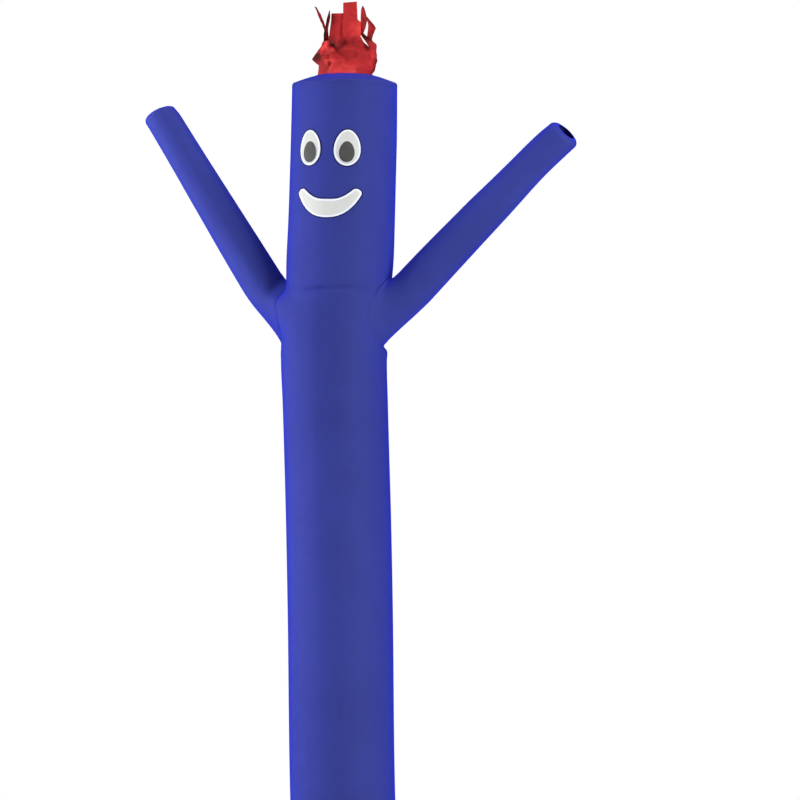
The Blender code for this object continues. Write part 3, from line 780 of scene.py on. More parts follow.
def crown_row(share):
    """A row of stitches round the top panel, at a share of the way in."""
    points = crown_points(ALL_ROUND, np.full_like(ALL_ROUND, share))
    return points, outwards(ALL_ROUND) * 0.3 + np.array([0.0, 0.0, 1.0]), True


def arm_row(arm, along):
    """A row of stitches round an arm, facing along its cloth's normals."""
    turn = np.linspace(0, 2 * math.pi, ARM_PLACES, endpoint=False)
    level = np.full_like(turn, along)
    points = arm_points(arm, turn, level)
    round_way = np.roll(points, -1, 0) - np.roll(points, 1, 0)
    down_way = arm_points(arm, turn, level + NEARBY) - points
    normal = np.cross(round_way, down_way) * arm.side * -1.0
    return points, normal / np.linalg.norm(normal, axis=1, keepdims=True), True


# ---- Hair ----
HAIR_CLEAR = 0.0008
HAIR_RADIUS = VENT_RADIUS - HAIR_CLEAR
HAIR_THICK = 0.0006
HAIR_ROOT = 0.020
HAIR_COLLAR = 0.088
HAIR_SETTLE = 0.016
HAIR_TURN = -8
STRIP_COUNT = 11
HALF_STRIP = 180 / STRIP_COUNT  # in degrees
STRIP_COLUMNS = 18
STRIP_ROWS = 50
COLLAR_ROWS = 72
STRIP_SETTLE = 0.020  # rise over which a strip leaves the collar's curve
WIDE_STRIP = 0.012  # half width from which a strip is as crumpled as the collar
CRUMPLES = ((0.0015, 28, 0.017, 5), (0.0008, 62, 0.0075, 8))  # depth, facets round, their height, seed
CRUMPLE_PAINTED_LIGHT = 110  # painted light for each metre that a small facet stands out, painted shade where it sinks in
OFFSET_ROWS = 48  # rows of random offsets, used over and over
FIRST_ROW = 12  # the row that lies at the vent
ACROSS_DRIFT = [(0.30, 3, 1, 0), (0.16, 7, 0, 2)]  # waves that pull the lattice of facets askew
UP_DRIFT = [(0.34, 5, 0, 1), (0.20, 9, -1, 0)]
PLAIN_ROWS = (-0.022, 0.125)  # heights below and above the crumpled corners
PLAIN_BEARINGS = range(-540, 541, 30)
ONE_TURN = 200  # bearings within which the repeated corners are needed
SAME_PLACE, SLACK = 1e-7, 1e-9

# Each strip's middle line, from the front one round by the left: at heights above the vent, how far
# sideways and outwards it has moved, its half width, how far it has turned, and the painted light at its
# left and right edges, from painted shade in a fold (-1) to a painted highlight on one (1).
STRIPS = [
    [
        (0.110, 0.0066, -0.0050, 0.0200, -10, -0.60, 0.10),
        (0.150, 0.0104, -0.0062, 0.0192, -12, -0.72, 0.25),
        (0.171, 0.0110, -0.0066, 0.0187, -12, -0.75, 0.10),
    ],
    [
        (0.105, 0.0088, 0.0020, 0.0262, 4, -0.16, 0.60),
        (0.128, 0.0088, 0.0004, 0.0262, 4, -0.10, 0.70),
        (0.146, 0.0084, -0.0002, 0.0258, 4, -0.06, 0.35),
        (0.153, 0.0054, -0.0006, 0.0206, 4, -0.10, 0.10),
        (0.190, 0.0046, 0.0004, 0.0198, 4, -0.10, 0.15),
        (0.202, 0.0042, 0.0008, 0.0194, 4, -0.35, 0.00),
    ],
    [(0.0995, 0.0030, -0.0040, 0.0200, 0, 0.20, -1.00)],
    [
        (0.090, -0.0030, -0.0010, 0.0120, 34, -0.50, -0.40),
        (0.098, -0.0060, -0.0062, 0.0100, 50, -0.60, -0.70),
        (0.111, -0.0165, -0.0158, 0.0072, 66, -1.00, -1.00),
        (0.119, -0.0180, -0.0215, 0.0050, 66, -0.70, -0.70),
        (0.132, -0.0180, -0.0190, 0.0083, 66, -0.50, -0.30),
        (0.155, -0.0180, -0.0150, 0.0096, 66, -0.42, -0.50),
        (0.170, -0.0180, -0.0162, 0.0080, 66, -0.42, -0.50),
        (0.186, -0.0180, -0.0178, 0.0055, 66, -0.40, -0.50),
        (0.196, -0.0180, -0.0184, 0.0012, 66, -0.90, -0.90),
    ],
    [
        (0.084, 0.0000, 0.0074, 0.0090, -60, -0.20, -0.40),
        (0.093, 0.0000, 0.0046, 0.0086, -72, -0.30, -0.50),
        (0.100, 0.0000, -0.0008, 0.0062, -80, -0.40, -0.80),
        (0.108, 0.0000, -0.0050, 0.0084, -85, -0.70, -0.90),
        (0.120, 0.0000, -0.0018, 0.0086, -85, -0.30, -0.60),
        (0.139, 0.0000, 0.0035, 0.0115, -85, -0.42, -0.22),
        (0.149, 0.0000, 0.0006, 0.0084, -85, -0.46, -0.30),
        (0.160, 0.0000, -0.0058, 0.0048, -85, -0.50, -0.40),
        (0.172, 0.0000, -0.0125, 0.0012, -85, -0.50, -0.50),
    ],
    [(0.082, 0.0000, -0.0010, 0.0200, -4, -0.20, 0.10)],
    [(0.146, 0.0030, 0.0010, 0.0190, 10, -0.40, 0.30)],
    [(0.095, 0.0000, -0.0020, 0.0190, -8, 0.20, -0.30)],
    [
        (0.105, 0.0040, -0.0190, 0.0090, -14, -0.90, -0.90),
        (0.130, 0.0040, -0.0180, 0.0085, -8, -0.85, -0.85),
        (0.141, 0.0040, -0.0184, 0.0088, -6, -0.75, -0.75),
        (0.158, 0.0040, -0.0215, 0.0104, -6, -0.75, -0.75),
        (0.175, 0.0040, -0.0252, 0.0074, -6, -0.80, -0.80),
        (0.190, 0.0040, -0.0277, 0.0012, -6, -0.80, -0.80),
    ],
    [
        (0.096, 0.0036, -0.0205, 0.0110, 16, -0.60, -0.90),
        (0.126, 0.0040, -0.0222, 0.0135, 18, -0.50, -0.80),
        (0.144, 0.0040, -0.0168, 0.0125, 20, -0.10, -0.20),
        (0.175, 0.0040, -0.0044, 0.0120, 21, -0.30, -0.30),
        (0.197, 0.0040, 0.0073, 0.0060, 22, -0.90, -0.90),
    ],
    [(0.096, 0.0050, -0.0170, 0.0115, -20, 0.80, 0.30)],
]
CUTS = {1: 0.0018, 2: -0.0215, 6: 0.006, 7: -0.004}  # how much higher some strips end at their right

# The collar is crumpled flat between corners. Each has a bearing, a height, how far it is pushed out or
# in, and its painted light, from painted shade in a fold (-1) to a painted highlight on one (1).
CORNERS = [
    # just above the vent, from the right of the face round to the left and the back
    (-74, 0.006, -0.0025, -0.30), (-51, 0.004, 0.0000, 0.50), (-27, 0.003, 0.0000, 0.45),
    (-18, 0.005, 0.0010, 1.00), (-8, 0.004, -0.0010, 1.00), (16, 0.004, 0.0000, 1.00),
    (38, 0.004, 0.0000, 0.85), (46, 0.006, 0.0000, 0.00), (78, 0.004, 0.0020, -0.20),
    (104, 0.004, 0.0040, -0.30), (138, 0.005, 0.0020, 0.10), (170, 0.004, 0.0000, 0.30),
    (-158, 0.005, 0.0010, -0.10), (-126, 0.004, 0.0000, 0.20), (-98, 0.005, 0.0010, 0.00),
    # low
    (-74, 0.030, -0.0047, -0.40), (-55, 0.028, -0.0010, -0.20), (-37, 0.022, -0.0010, -0.05),
    (-24, 0.037, 0.0055, 0.80), (-15, 0.028, -0.0030, -0.30), (-15, 0.039, 0.0030, 0.75),
    (-6, 0.033, 0.0050, 0.60), (2, 0.024, -0.0020, 0.60), (9, 0.036, 0.0010, 0.35),
    (-12, 0.018, 0.0040, 1.00), (-20, 0.017, -0.0030, 0.20), (16, 0.018, 0.0030, 0.70),
    (39, 0.019, 0.0030, 0.55), (62, 0.021, -0.0010, -0.15), (86, 0.038, 0.0060, 0.45),
    (106, 0.018, 0.0093, -0.80), (135, 0.026, 0.0040, 0.20), (162, 0.034, -0.0060, -0.35),
    (-166, 0.024, 0.0070, 0.35), (-134, 0.032, -0.0050, -0.30), (-104, 0.024, 0.0040, 0.20),
    # in the middle
    (-74, 0.0375, 0.0075, -0.60), (-74, 0.047, 0.0175, -0.90), (-61, 0.055, 0.0060, -1.00),
    (-56, 0.045, 0.0000, -0.65), (-52, 0.060, 0.0030, -0.90), (-44, 0.062, 0.0010, 0.45),
    (-38, 0.053, -0.0020, -0.60), (-22, 0.052, -0.0050, -0.50), (-10, 0.057, 0.0010, -0.30),
    (-3, 0.064, -0.0060, -0.70), (8, 0.051, -0.0030, -0.50), (20, 0.038, -0.0040, -0.15),
    (38, 0.045, -0.0035, -0.25), (54, 0.060, -0.0030, -0.40), (16, 0.067, 0.0030, -0.35),
    (34, 0.064, 0.0030, -0.40), (66, 0.060, 0.0040, -0.25), (84, 0.050, 0.0100, 0.70),
    (106, 0.044, 0.0156, -0.85), (106, 0.068, 0.0128, -0.40), (140, 0.056, -0.0080, -0.40),
    (172, 0.060, 0.0100, 0.40), (-154, 0.056, -0.0070, -0.40), (-122, 0.060, 0.0080, 0.30),
    (-94, 0.050, 0.0000, -0.30),
    # under the strips
    (-74, 0.088, -0.0115, -0.80), (-56, 0.077, -0.0060, 0.75), (-54, 0.090, -0.0140, -0.20),
    (-35, 0.080, -0.0080, 1.00), (-28, 0.092, -0.0090, 0.30), (-22, 0.0865, -0.0100, -0.95),
    (-18, 0.073, 0.0020, 0.00), (-12, 0.079, -0.0120, -1.00), (-9, 0.068, 0.0040, 0.75),
    (3, 0.094, -0.0020, -0.30), (15, 0.087, -0.0080, -0.70), (27, 0.077, -0.0040, -0.35),
    (41, 0.086, -0.0080, -0.45), (51, 0.089, -0.0100, -0.50), (64, 0.078, -0.0090, -0.35),
    (70, 0.0765, 0.0030, -1.00), (84, 0.0760, 0.0060, -0.20), (75, 0.066, 0.0060, -0.35),
    (106, 0.086, 0.0130, -0.25), (136, 0.080, 0.0020, 0.10), (168, 0.086, -0.0050, -0.30),
    (-160, 0.082, 0.0060, 0.30), (-128, 0.088, -0.0060, -0.30), (-98, 0.086, -0.0100, -0.30),
]

# Where the cuts between the strips run deeper into the collar.
Dip = namedtuple("Dip", "bearing spread depth")
DIPS = [Dip(76, 14, 0.015), Dip(140, 30, 0.018), Dip(-138, 22, 0.006)]


def sideways(bearing):
    """The level direction round the hair at a bearing."""
    turn = np.radians(bearing)
    return np.stack([np.cos(turn), np.sin(turn), 0 * turn], -1)


def corner_net():
    """The corners laid out flat, repeated a turn to either side, between a plain row in the vent and
    one above the collar; and the triangles between neighbours."""
    rows = [(bearing + 360 * k, *rest) for k in (-1, 0, 1) for bearing, *rest in CORNERS]
    rows += [(b, h, 0.0, 0.0) for b in PLAIN_BEARINGS for h in PLAIN_ROWS]
    places = [Vector((math.radians(row[0]) * HAIR_RADIUS, row[1])) for row in rows]
    laid = delaunay_2d_cdt(places, [], [], 0, SAME_PLACE)
    order = np.array([first[0] for first in laid[3]])
    return np.array(rows)[order], np.array(laid[2])


NET, TRIANGLES = corner_net()


def on_net(bearing, height):
    """Push and fold at places on the collar. Each triangle is flat: at a place in it both are the sums
    of its corners' values, each in the share of the area that the place cuts off across from it."""
    x = np.radians(away_from(bearing, 0)) * HAIR_RADIUS
    y = height + 0 * x
    push, fold = 0 * y, 0 * y
    corner_x = np.radians(NET[:, 0]) * HAIR_RADIUS
    for a, b, c in TRIANGLES[np.min(np.abs(NET[TRIANGLES, 0]), 1) < ONE_TURN]:
        (ax, bx, cx), (ay, by, cy) = corner_x[[a, b, c]], NET[[a, b, c], 1]
        area = (bx - ax) * (cy - ay) - (cx - ax) * (by - ay)
        to_b = ((x - ax) * (cy - ay) - (cx - ax) * (y - ay)) / area
        to_c = ((bx - ax) * (y - ay) - (x - ax) * (by - ay)) / area
        to_a = 1 - to_b - to_c
        inside = (to_a >= -SLACK) & (to_b >= -SLACK) & (to_c >= -SLACK)
        push = np.where(inside, to_a * NET[a, 2] + to_b * NET[b, 2] + to_c * NET[c, 2], push)
        fold = np.where(inside, to_a * NET[a, 3] + to_b * NET[b, 3] + to_c * NET[c, 3], fold)
    return push, fold


def facets(bearing, height, cells, tall, seed):
    """Flat three-cornered facets between sharp creases: random offsets from -1 to 1 at the corners of
    a drifting lattice, level between the corners of each half cell."""
    table = np.random.default_rng(seed).uniform(-1, 1, (OFFSET_ROWS, cells))
    turn, level = np.radians(bearing), height / tall
    across = with_waves(bearing / 360 * cells, ACROSS_DRIFT, turn, level)
    up = with_waves(level + FIRST_ROW, UP_DRIFT, turn, level)
    column, row = np.floor(across).astype(int), np.floor(up).astype(int)
    f, g = across - column, up - row
    mirrored = (column + row) % 2 == 1
    near = (column + mirrored) % cells
    far = (column + 1 - mirrored) % cells
    f = np.where(mirrored, 1 - f, f)
    low_near, low_far = table[row % OFFSET_ROWS, near], table[row % OFFSET_ROWS, far]
    top_near, top_far = table[(row + 1) % OFFSET_ROWS, near], table[(row + 1) % OFFSET_ROWS, far]
    one = low_near + f * (low_far - low_near) + g * (top_far - low_far)
    other = low_near + g * (top_near - low_near) + f * (top_far - top_near)
    return np.where(f > g, one, other)


def crumple(bearing, height):
    """Small facets on the large ones, in two sizes."""
    return sum(depth * facets(bearing, height, *size) for depth, *size in CRUMPLES)


def hair_reach(bearing, height):
    """The collar's radius: plain in the vent, and above it with its corners and crumples."""
    return HAIR_RADIUS + soft(height / HAIR_SETTLE) * (on_net(bearing, height)[0] + crumple(bearing, height))


def hair_painted_light(bearing, height):
    """The painted light on the collar, from painted shade in a fold to a painted highlight on one: its
    corners' values, and the small facets' share.
    """
    return on_net(bearing, height)[1] + CRUMPLE_PAINTED_LIGHT * crumple(bearing, height)


def collar_top(bearing):
    """The height that the strips are cut down to."""
    height = HAIR_COLLAR + 0 * bearing
    for dip in DIPS:
        height = height - dip.depth * bell(away_from(bearing, dip.bearing) / dip.spread)
    return height


def collar_points(bearing, height):
    """Points on the collar, before it is set in the vent."""
    points = outwards(bearing) * hair_reach(bearing, height)[..., None]
    points[..., 2] = height
    return points


def strip_points(index, across, share):
    """A free strip: it leaves the collar's rim for a flat ribbon on the line through its places. share
    runs from 0 at the collar to 1 at its end, and across from -1 to 1. Also gives its painted light and
    shade."""
    middle = HAIR_TURN + 2 * HALF_STRIP * index
    rim_bearing = middle + across * HALF_STRIP
    rim_height = collar_top(rim_bearing)
    rim = collar_points(rim_bearing, rim_height)
    out, side = outwards(middle), sideways(middle)
    root = (collar_top(middle), 0, 0, math.radians(HALF_STRIP) * HAIR_RADIUS, 0, *STRIPS[index][0][-2:])
    places = np.array([root, *STRIPS[index]])
    height = rim_height + (places[-1, 0] + CUTS.get(index, 0.0) * across - rim_height) * share
    aside, outer, wide, turn, left, right = (np.interp(height, places[:, 0], c) for c in places.T[1:])
    turn = np.radians(turn)
    facing = out * np.cos(turn)[..., None] - side * np.sin(turn)[..., None]
    along = side * np.cos(turn)[..., None] + out * np.sin(turn)[..., None]
    small = crumple(rim_bearing, height)
    relief = small * np.minimum(1, wide / WIDE_STRIP)
    ribbon = out * (HAIR_RADIUS + outer)[..., None] + side * aside[..., None]
    ribbon = ribbon + along * (across * wide)[..., None] + facing * relief[..., None]
    free = soft((height - rim_height) / STRIP_SETTLE)
    points = rim * (1 - free)[..., None] + ribbon * free[..., None]
    points[..., 2] = height
    # Painted light on the strip: the collar's painted shade and highlight at its root, its edges' own further
    # up.
    edges = left + (right - left) * (across + 1) / 2
    fold = hair_painted_light(rim_bearing, rim_height) * (1 - free) + (edges + CRUMPLE_PAINTED_LIGHT * small) * free
    return points, fold


def hair_cloth():
    """One fringe: the collar's grid, closed on itself, and above it a grid for each strip that shares
    the collar's top row and no other points."""
    vent = crown_section(np.array([1.0]))[1][0]
    base = np.array([along_tube(vent, "lean_x"), along_tube(vent, "lean_y"), vent])
    columns = STRIP_COLUMNS * STRIP_COUNT
    bearings = HAIR_TURN - HALF_STRIP + np.arange(columns) * 360 / columns
    b, share = np.meshgrid(bearings, np.linspace(0, 1, COLLAR_ROWS))
    h = -HAIR_ROOT + (collar_top(b) + HAIR_ROOT) * share
    points = [collar_points(b, h).reshape(-1, 3)]
    # fold carries the painted light and shade of the collar and strips.
    fold = [hair_painted_light(b, h).ravel()]
    r, c = grid_faces(COLLAR_ROWS, columns, close_columns=True)
    faces = [(r * columns + c % columns).reshape(-1, 4)]
    across_size = 2 * math.pi * HAIR_RADIUS / columns
    uv = [np.stack([c * across_size, h[r, c % columns]], -1).reshape(-1, 4, 2)]
    made = COLLAR_ROWS * columns
    wide = STRIP_COLUMNS + 1
    for index in range(STRIP_COUNT):
        across, share = np.meshgrid(np.linspace(-1, 1, wide), np.linspace(0, 1, STRIP_ROWS + 1))
        strip, tone = strip_points(index, across, share)
        number = np.empty((STRIP_ROWS + 1, wide), dtype=int)
        number[0] = (COLLAR_ROWS - 1) * columns + (index * STRIP_COLUMNS + np.arange(wide)) % columns
        number[1:] = made + np.arange(STRIP_ROWS * wide).reshape(STRIP_ROWS, wide)
        r, c = grid_faces(STRIP_ROWS + 1, wide)
        faces.append(number[r, c].reshape(-1, 4))
        start = index * STRIP_COLUMNS
        uv.append(np.stack([(start + c) * across_size, strip[..., 2][r, c]], -1).reshape(-1, 4, 2))
        points.append(strip[1:].reshape(-1, 3))
        fold.append(tone[1:].ravel())
        made += STRIP_ROWS * wide
    points, faces, uv = np.concatenate(points) + base, np.concatenate(faces), np.concatenate(uv)
    piece = mesh_piece("hair_cloth", points, faces, uv, np.clip(np.concatenate(fold), -1, 1))
    give_thickness(piece, HAIR_THICK, 0.0)
    return piece


# ---- Materials ----
def give(tree, socket, value):
    """Feeds a socket from another one, a number or an (r, g, b)."""
    if isinstance(value, bpy.types.NodeSocket):
        tree.links.new(value, socket)
    else:
        socket.default_value = (*value, 1) if isinstance(value, tuple) else value


def sums(tree, operation, *values):
    """A Math node's output, from sockets or numbers."""
    made = tree.nodes.new("ShaderNodeMath")
    made.operation = operation
    for socket, value in zip(made.inputs, values):
        give(tree, socket, value)
    return made.outputs[0]


def ramp(tree, value, low, high, to_low=0.0, to_high=1.0):
    """A value mapped softly from one range to another."""
    made = tree.nodes.new("ShaderNodeMapRange")
    made.interpolation_type = "SMOOTHSTEP"
    for socket, given in zip(made.inputs, (value, low, high, to_low, to_high)):
        give(tree, socket, given)
    return made.outputs[0]


def mixed(tree, share, first, second):
    """A colour between two, which are sockets or (r, g, b)."""
    made = tree.nodes.new("ShaderNodeMix")
    made.data_type = "RGBA"
    for k, given in ((0, share), (6, first), (7, second)):
        give(tree, made.inputs[k], given)
    return made.outputs[2]


def noise(tree, scale, detail, roughness=0.5):
    """Noise at places on the piece, from 0 to 1."""
    place = tree.nodes.new("ShaderNodeTexCoord")
    made = tree.nodes.new("ShaderNodeTexNoise")
    tree.links.new(place.outputs["Object"], made.inputs["Vector"])
    for name, value in (("Scale", scale), ("Detail", detail), ("Roughness", roughness)):
        give(tree, made.inputs[name], value)
    return made.outputs["Fac"]


def cloth_place(tree):
    """How far a place lies either way over its flat cloth or border, in metres."""
    place = tree.nodes.new("ShaderNodeUVMap")
    place.uv_map = "cloth"
    split = tree.nodes.new("ShaderNodeSeparateXYZ")
    tree.links.new(place.outputs[0], split.inputs[0])
    return split.outputs[0], split.outputs[1]


def shaded_by(tree, shader, colour, rough):
    """Gives a shader its colour and roughness."""
    give(tree, shader.inputs["Base Color"], colour)
    give(tree, shader.inputs["Roughness"], rough)


def new_group(name, inputs, outputs):
    """A shader node group with named number sockets, and its two ends."""
    tree = bpy.data.node_groups.new(name, "ShaderNodeTree")
    for label, value in inputs.items():
        socket = tree.interface.new_socket(label, in_out="INPUT", socket_type="NodeSocketFloat")
        socket.default_value = value
    for label in outputs:
        tree.interface.new_socket(label, in_out="OUTPUT", socket_type="NodeSocketFloat")
    return tree, tree.nodes.new("NodeGroupInput"), tree.nodes.new("NodeGroupOutput")


def ripstop_group():
    """A fine plain weave, and a doubled thread at an even spacing both ways, on the cloth's own sizes.
    Puts out the height of the weave, and where the doubled threads lie."""
    tree, start, end = new_group("ripstop_weave", {"Spacing": 0.006, "Thread": 0.0007}, ["Height", "Line"])
    lines, waves = [], []
    for way in cloth_place(tree):
        cell = sums(tree, "DIVIDE", way, start.outputs["Spacing"])
        off = sums(tree, "ABSOLUTE", sums(tree, "SUBTRACT", sums(tree, "FRACT", cell), 0.5))
        lines.append(ramp(tree, off, 0.40, 0.47))
        turns = sums(tree, "DIVIDE", way, start.outputs["Thread"])
        waves.append(sums(tree, "SINE", sums(tree, "MULTIPLY", turns, math.pi)))
    line = sums(tree, "MAXIMUM", lines[0], lines[1])
    weave = sums(tree, "MULTIPLY", waves[0], waves[1])
    height = sums(tree, "MULTIPLY_ADD", weave, 0.12, line)
    tree.links.new(height, end.inputs["Height"])
    tree.links.new(line, end.inputs["Line"])
    return tree


def tone_group():
    """Slow changes of tone over the piece, and small faint crinkles of handled cloth."""
    tree, start, end = new_group("cloth_tone", {"Size": 5.0}, ["Tone", "Crinkle"])
    slow = noise(tree, start.outputs["Size"], 3.0, 0.55)
    tree.links.new(ramp(tree, slow, 0.3, 0.7), end.inputs["Tone"])
    tree.links.new(noise(tree, 38.0, 4.0, 0.6), end.inputs["Crinkle"])
    return tree


def stitch_group():
    """The close threads of a zigzag border: ridges across it at an even pitch along it."""
    tree, start, end = new_group("zigzag_threads", {"Pitch": 0.0009}, ["Ridge"])
    along, across = cloth_place(tree)
    slanted = sums(tree, "MULTIPLY_ADD", across, 0.25, along)
    turns = sums(tree, "DIVIDE", slanted, start.outputs["Pitch"])
    wave = sums(tree, "SINE", sums(tree, "MULTIPLY", turns, 2 * math.pi))
    tree.links.new(sums(tree, "MULTIPLY_ADD", wave, 0.5, 0.5), end.inputs["Ridge"])
    return tree


def darker(colour, share):
    """A colour at a share of its light."""
    return tuple(share * part for part in colour)


def place_group(tree, group, **values):
    """A group in a material, with its own values."""
    made = tree.nodes.new("ShaderNodeGroup")
    made.node_tree = group
    for key, value in values.items():
        made.inputs[key].default_value = value
    return made


def bumped(tree, shader, height, strength, distance):
    """Gives a shader the relief of a height."""
    bump = tree.nodes.new("ShaderNodeBump")
    bump.inputs["Strength"].default_value = strength
    bump.inputs["Distance"].default_value = distance
    tree.links.new(height, bump.inputs["Height"])
    tree.links.new(bump.outputs[0], shader.inputs["Normal"])


def new_material(name, **constants):
    """A material, its nodes and its shader, with numbers set on the shader's own sockets."""
    made = bpy.data.materials.new(name)
    made.use_nodes = True
    shader = made.node_tree.nodes["Principled BSDF"]
    for key, value in constants.items():
        shader.inputs[key.replace("_", " ")].default_value = value
    return made, made.node_tree, shader


def ripstop_cloth(name, light, deep, folds, roughness, sheen, sheen_tint, crinkle):
    """Woven nylon: two near tones, darker on the doubled threads, with painted shade in the valleys of folds
    and a painted highlight on their crowns, after the fold attribute, and a soft sheen at its edges. folds
    are those two painted colours."""
    tint = (*sheen_tint, 1)
    made, tree, shader = new_material(
        name, Sheen_Weight=sheen, Sheen_Roughness=0.49, Sheen_Tint=tint, Specular_IOR_Level=0.06
    )
    weave = place_group(tree, GROUPS["ripstop"], Spacing=0.006, Thread=0.0007)
    tone = place_group(tree, GROUPS["tone"], Size=4.0)
    plain = mixed(tree, tone.outputs["Tone"], deep, light)
    lined = mixed(tree, sums(tree, "MULTIPLY", weave.outputs["Line"], 0.16), plain, darker(deep, 0.8))
    # The fold attribute paints light: valleys darken to the first fold colour, crowns lighten to the second.
    fold = tree.nodes.new("ShaderNodeAttribute")
    fold.attribute_name = "fold"
    valley = ramp(tree, fold.outputs["Fac"], -1.0, -0.05, 1.0, 0.0)
    crown = ramp(tree, fold.outputs["Fac"], 0.05, 1.0)
    folded = mixed(tree, crown, mixed(tree, valley, lined, folds[0]), folds[1])
    rough = ramp(tree, tone.outputs["Crinkle"], 0.3, 0.7, roughness - 0.06, roughness + 0.06)
    shaded_by(tree, shader, folded, rough)
    height = sums(tree, "MULTIPLY_ADD", tone.outputs["Crinkle"], crinkle, weave.outputs["Height"])
    bumped(tree, shader, height, 0.35, 0.0003)
    return made


def plain_cloth(name, colour, shade):
    """Closely woven patch cloth: faint tone changes and a fine even weave."""
    made, tree, shader = new_material(name, Sheen_Weight=0.15, Specular_IOR_Level=0.3)
    weave = place_group(tree, GROUPS["ripstop"], Spacing=0.0024, Thread=0.0006)
    tone = place_group(tree, GROUPS["tone"], Size=18.0)
    rough = ramp(tree, tone.outputs["Crinkle"], 0.3, 0.7, 0.6, 0.75)
    shaded_by(tree, shader, mixed(tree, tone.outputs["Tone"], shade, colour), rough)
    bumped(tree, shader, weave.outputs["Height"], 0.25, 0.0002)
    return made


def border_thread(name, colour, shade):
    """Sewing thread laid close: painted shade between the threads, shinier on them."""
    made, tree, shader = new_material(name, Sheen_Weight=0.2)
    ridge = place_group(tree, GROUPS["stitch"], Pitch=0.0009).outputs["Ridge"]
    shaded_by(tree, shader, mixed(tree, ridge, shade, colour), ramp(tree, ridge, 0.0, 1.0, 0.6, 0.42))
    bumped(tree, shader, ridge, 0.5, 0.0003)
    return made


def seam_thread(name, colour, shade):
    """Twisted sewing thread: its tone changes along it in fine flecks, and the lit ones are rougher."""
    made, tree, shader = new_material(name, Specular_IOR_Level=0.1)
    twist = noise(tree, 1400.0, 1.0)
    tone = mixed(tree, ramp(tree, twist, 0.4, 0.6), shade, colour)
    shaded_by(tree, shader, tone, ramp(tree, twist, 0.4, 0.6, 0.5, 0.65))
    return made


def floor_material():
    """A pale matt studio floor with the faintest mottling."""
    made, tree, shader = new_material("pale_floor", Specular_IOR_Level=0.2)
    mottle = ramp(tree, noise(tree, 2.0, 5.0), 0.3, 0.7)
    shaded_by(tree, shader, mixed(tree, mottle, *FLOOR_TONES), 0.8)
    return made


GROUPS = {"ripstop": ripstop_group(), "tone": tone_group(), "stitch": stitch_group()}


def finish_piece(piece, material, slot, *solids):
    """Gives a piece its material, sets it on the one body, and hides the solids it replaces. slot is not
    used.
    """
    piece.data.materials.clear()
    piece.data.materials.append(material)
    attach(piece, "root")
    if solids:
        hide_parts(*solids)


# ---- Studio ----
VIEW_AZIMUTH = 16.2
VIEW_DISTANCE = 9.62
VIEW_HEIGHT = 1.91
VIEW_RIGHT = 0.1295  # how far the view's middle is to the right of the hem's, as seen
LENS = 151.2
SENSOR = 36
CLIP_END = 60  # beyond the floor's far edge
FLOOR_RADIUS = 4.4
FLOOR_DROP = 0.001  # the floor's clearance under the hem
FLOOR_CORNERS = 33  # along each way of its grid
FILL_LIGHT = (0.92, 0.95, 1)
FILL_STRENGTH = 0.22
CHEST = (0, 0, 1.9)
# Each light's azimuth from the view's, distance, height, size and power.
LIGHTS = {
    "left_soft": (-90, 2.5, 1.95, (1.3, 3.2), 108),
    "right_soft": (42, 4.6, 2.3, (1.6, 3.6), 195),
    "top_left": (-50, 1.8, 4.9, (1.6, 1.6), 24),
    "top_right": (60, 1.2, 5.0, (1.4, 1.4), 38),
    "back_fill": (180, 5.0, 1.6, (3.0, 3.0), 60),
}


def area_light(name, place, aim, size, power):
    """A soft light of a size (wide, high) that faces its aim."""
    data = bpy.data.lights.new(name, "AREA")
    data.shape = "RECTANGLE"
    data.size, data.size_y = size
    data.energy = power
    light = bpy.data.objects.new(name, data)
    light.location = place
    away = np.array(place) - np.array(aim)
    level = math.hypot(away[0], away[1])
    light.rotation_euler = (math.atan2(level, away[2]), 0, math.atan2(away[0], -away[1]))
    bpy.context.scene.collection.objects.link(light)


def studio_place(azimuth, distance, height):
    """A place round the dancer, at an azimuth from the view's own, to the right in degrees."""
    turn = math.radians(VIEW_AZIMUTH + azimuth)
    return (distance * math.sin(turn), -distance * math.cos(turn), height)


def make_camera():
    """A level camera before the dancer, somewhat to its left."""
    data = bpy.data.cameras.new("camera")
    data.sensor_width = SENSOR
    data.lens = LENS
    data.clip_end = CLIP_END
    camera = bpy.data.objects.new("camera", data)
    turn = math.radians(VIEW_AZIMUTH)
    right = np.array([math.cos(turn), math.sin(turn), 0])
    back = np.array([math.sin(turn), -math.cos(turn), 0])
    camera.location = right * VIEW_RIGHT + back * VIEW_DISTANCE + [0, 0, VIEW_HEIGHT]
    camera.rotation_euler = (math.radians(90), 0, turn)
    bpy.context.scene.collection.objects.link(camera)
    bpy.context.scene.camera = camera


def make_world():
    """Plain white where it is seen, and a dim even light on the dancer."""
    world = bpy.data.worlds.new("studio")
    bpy.context.scene.world = world
    world.use_nodes = True
    tree = world.node_tree
    seen = tree.nodes["Background"]
    seen.inputs["Color"].default_value = (1, 1, 1, 1)
    fill = tree.nodes.new("ShaderNodeBackground")
    fill.inputs["Color"].default_value = (*FILL_LIGHT, 1)
    fill.inputs["Strength"].default_value = FILL_STRENGTH
    path = tree.nodes.new("ShaderNodeLightPath")
    mix = tree.nodes.new("ShaderNodeMixShader")
    tree.links.new(path.outputs["Is Camera Ray"], mix.inputs[0])
    tree.links.new(fill.outputs[0], mix.inputs[1])
    tree.links.new(seen.outputs[0], mix.inputs[2])
    tree.links.new(mix.outputs[0], tree.nodes["World Output"].inputs["Surface"])


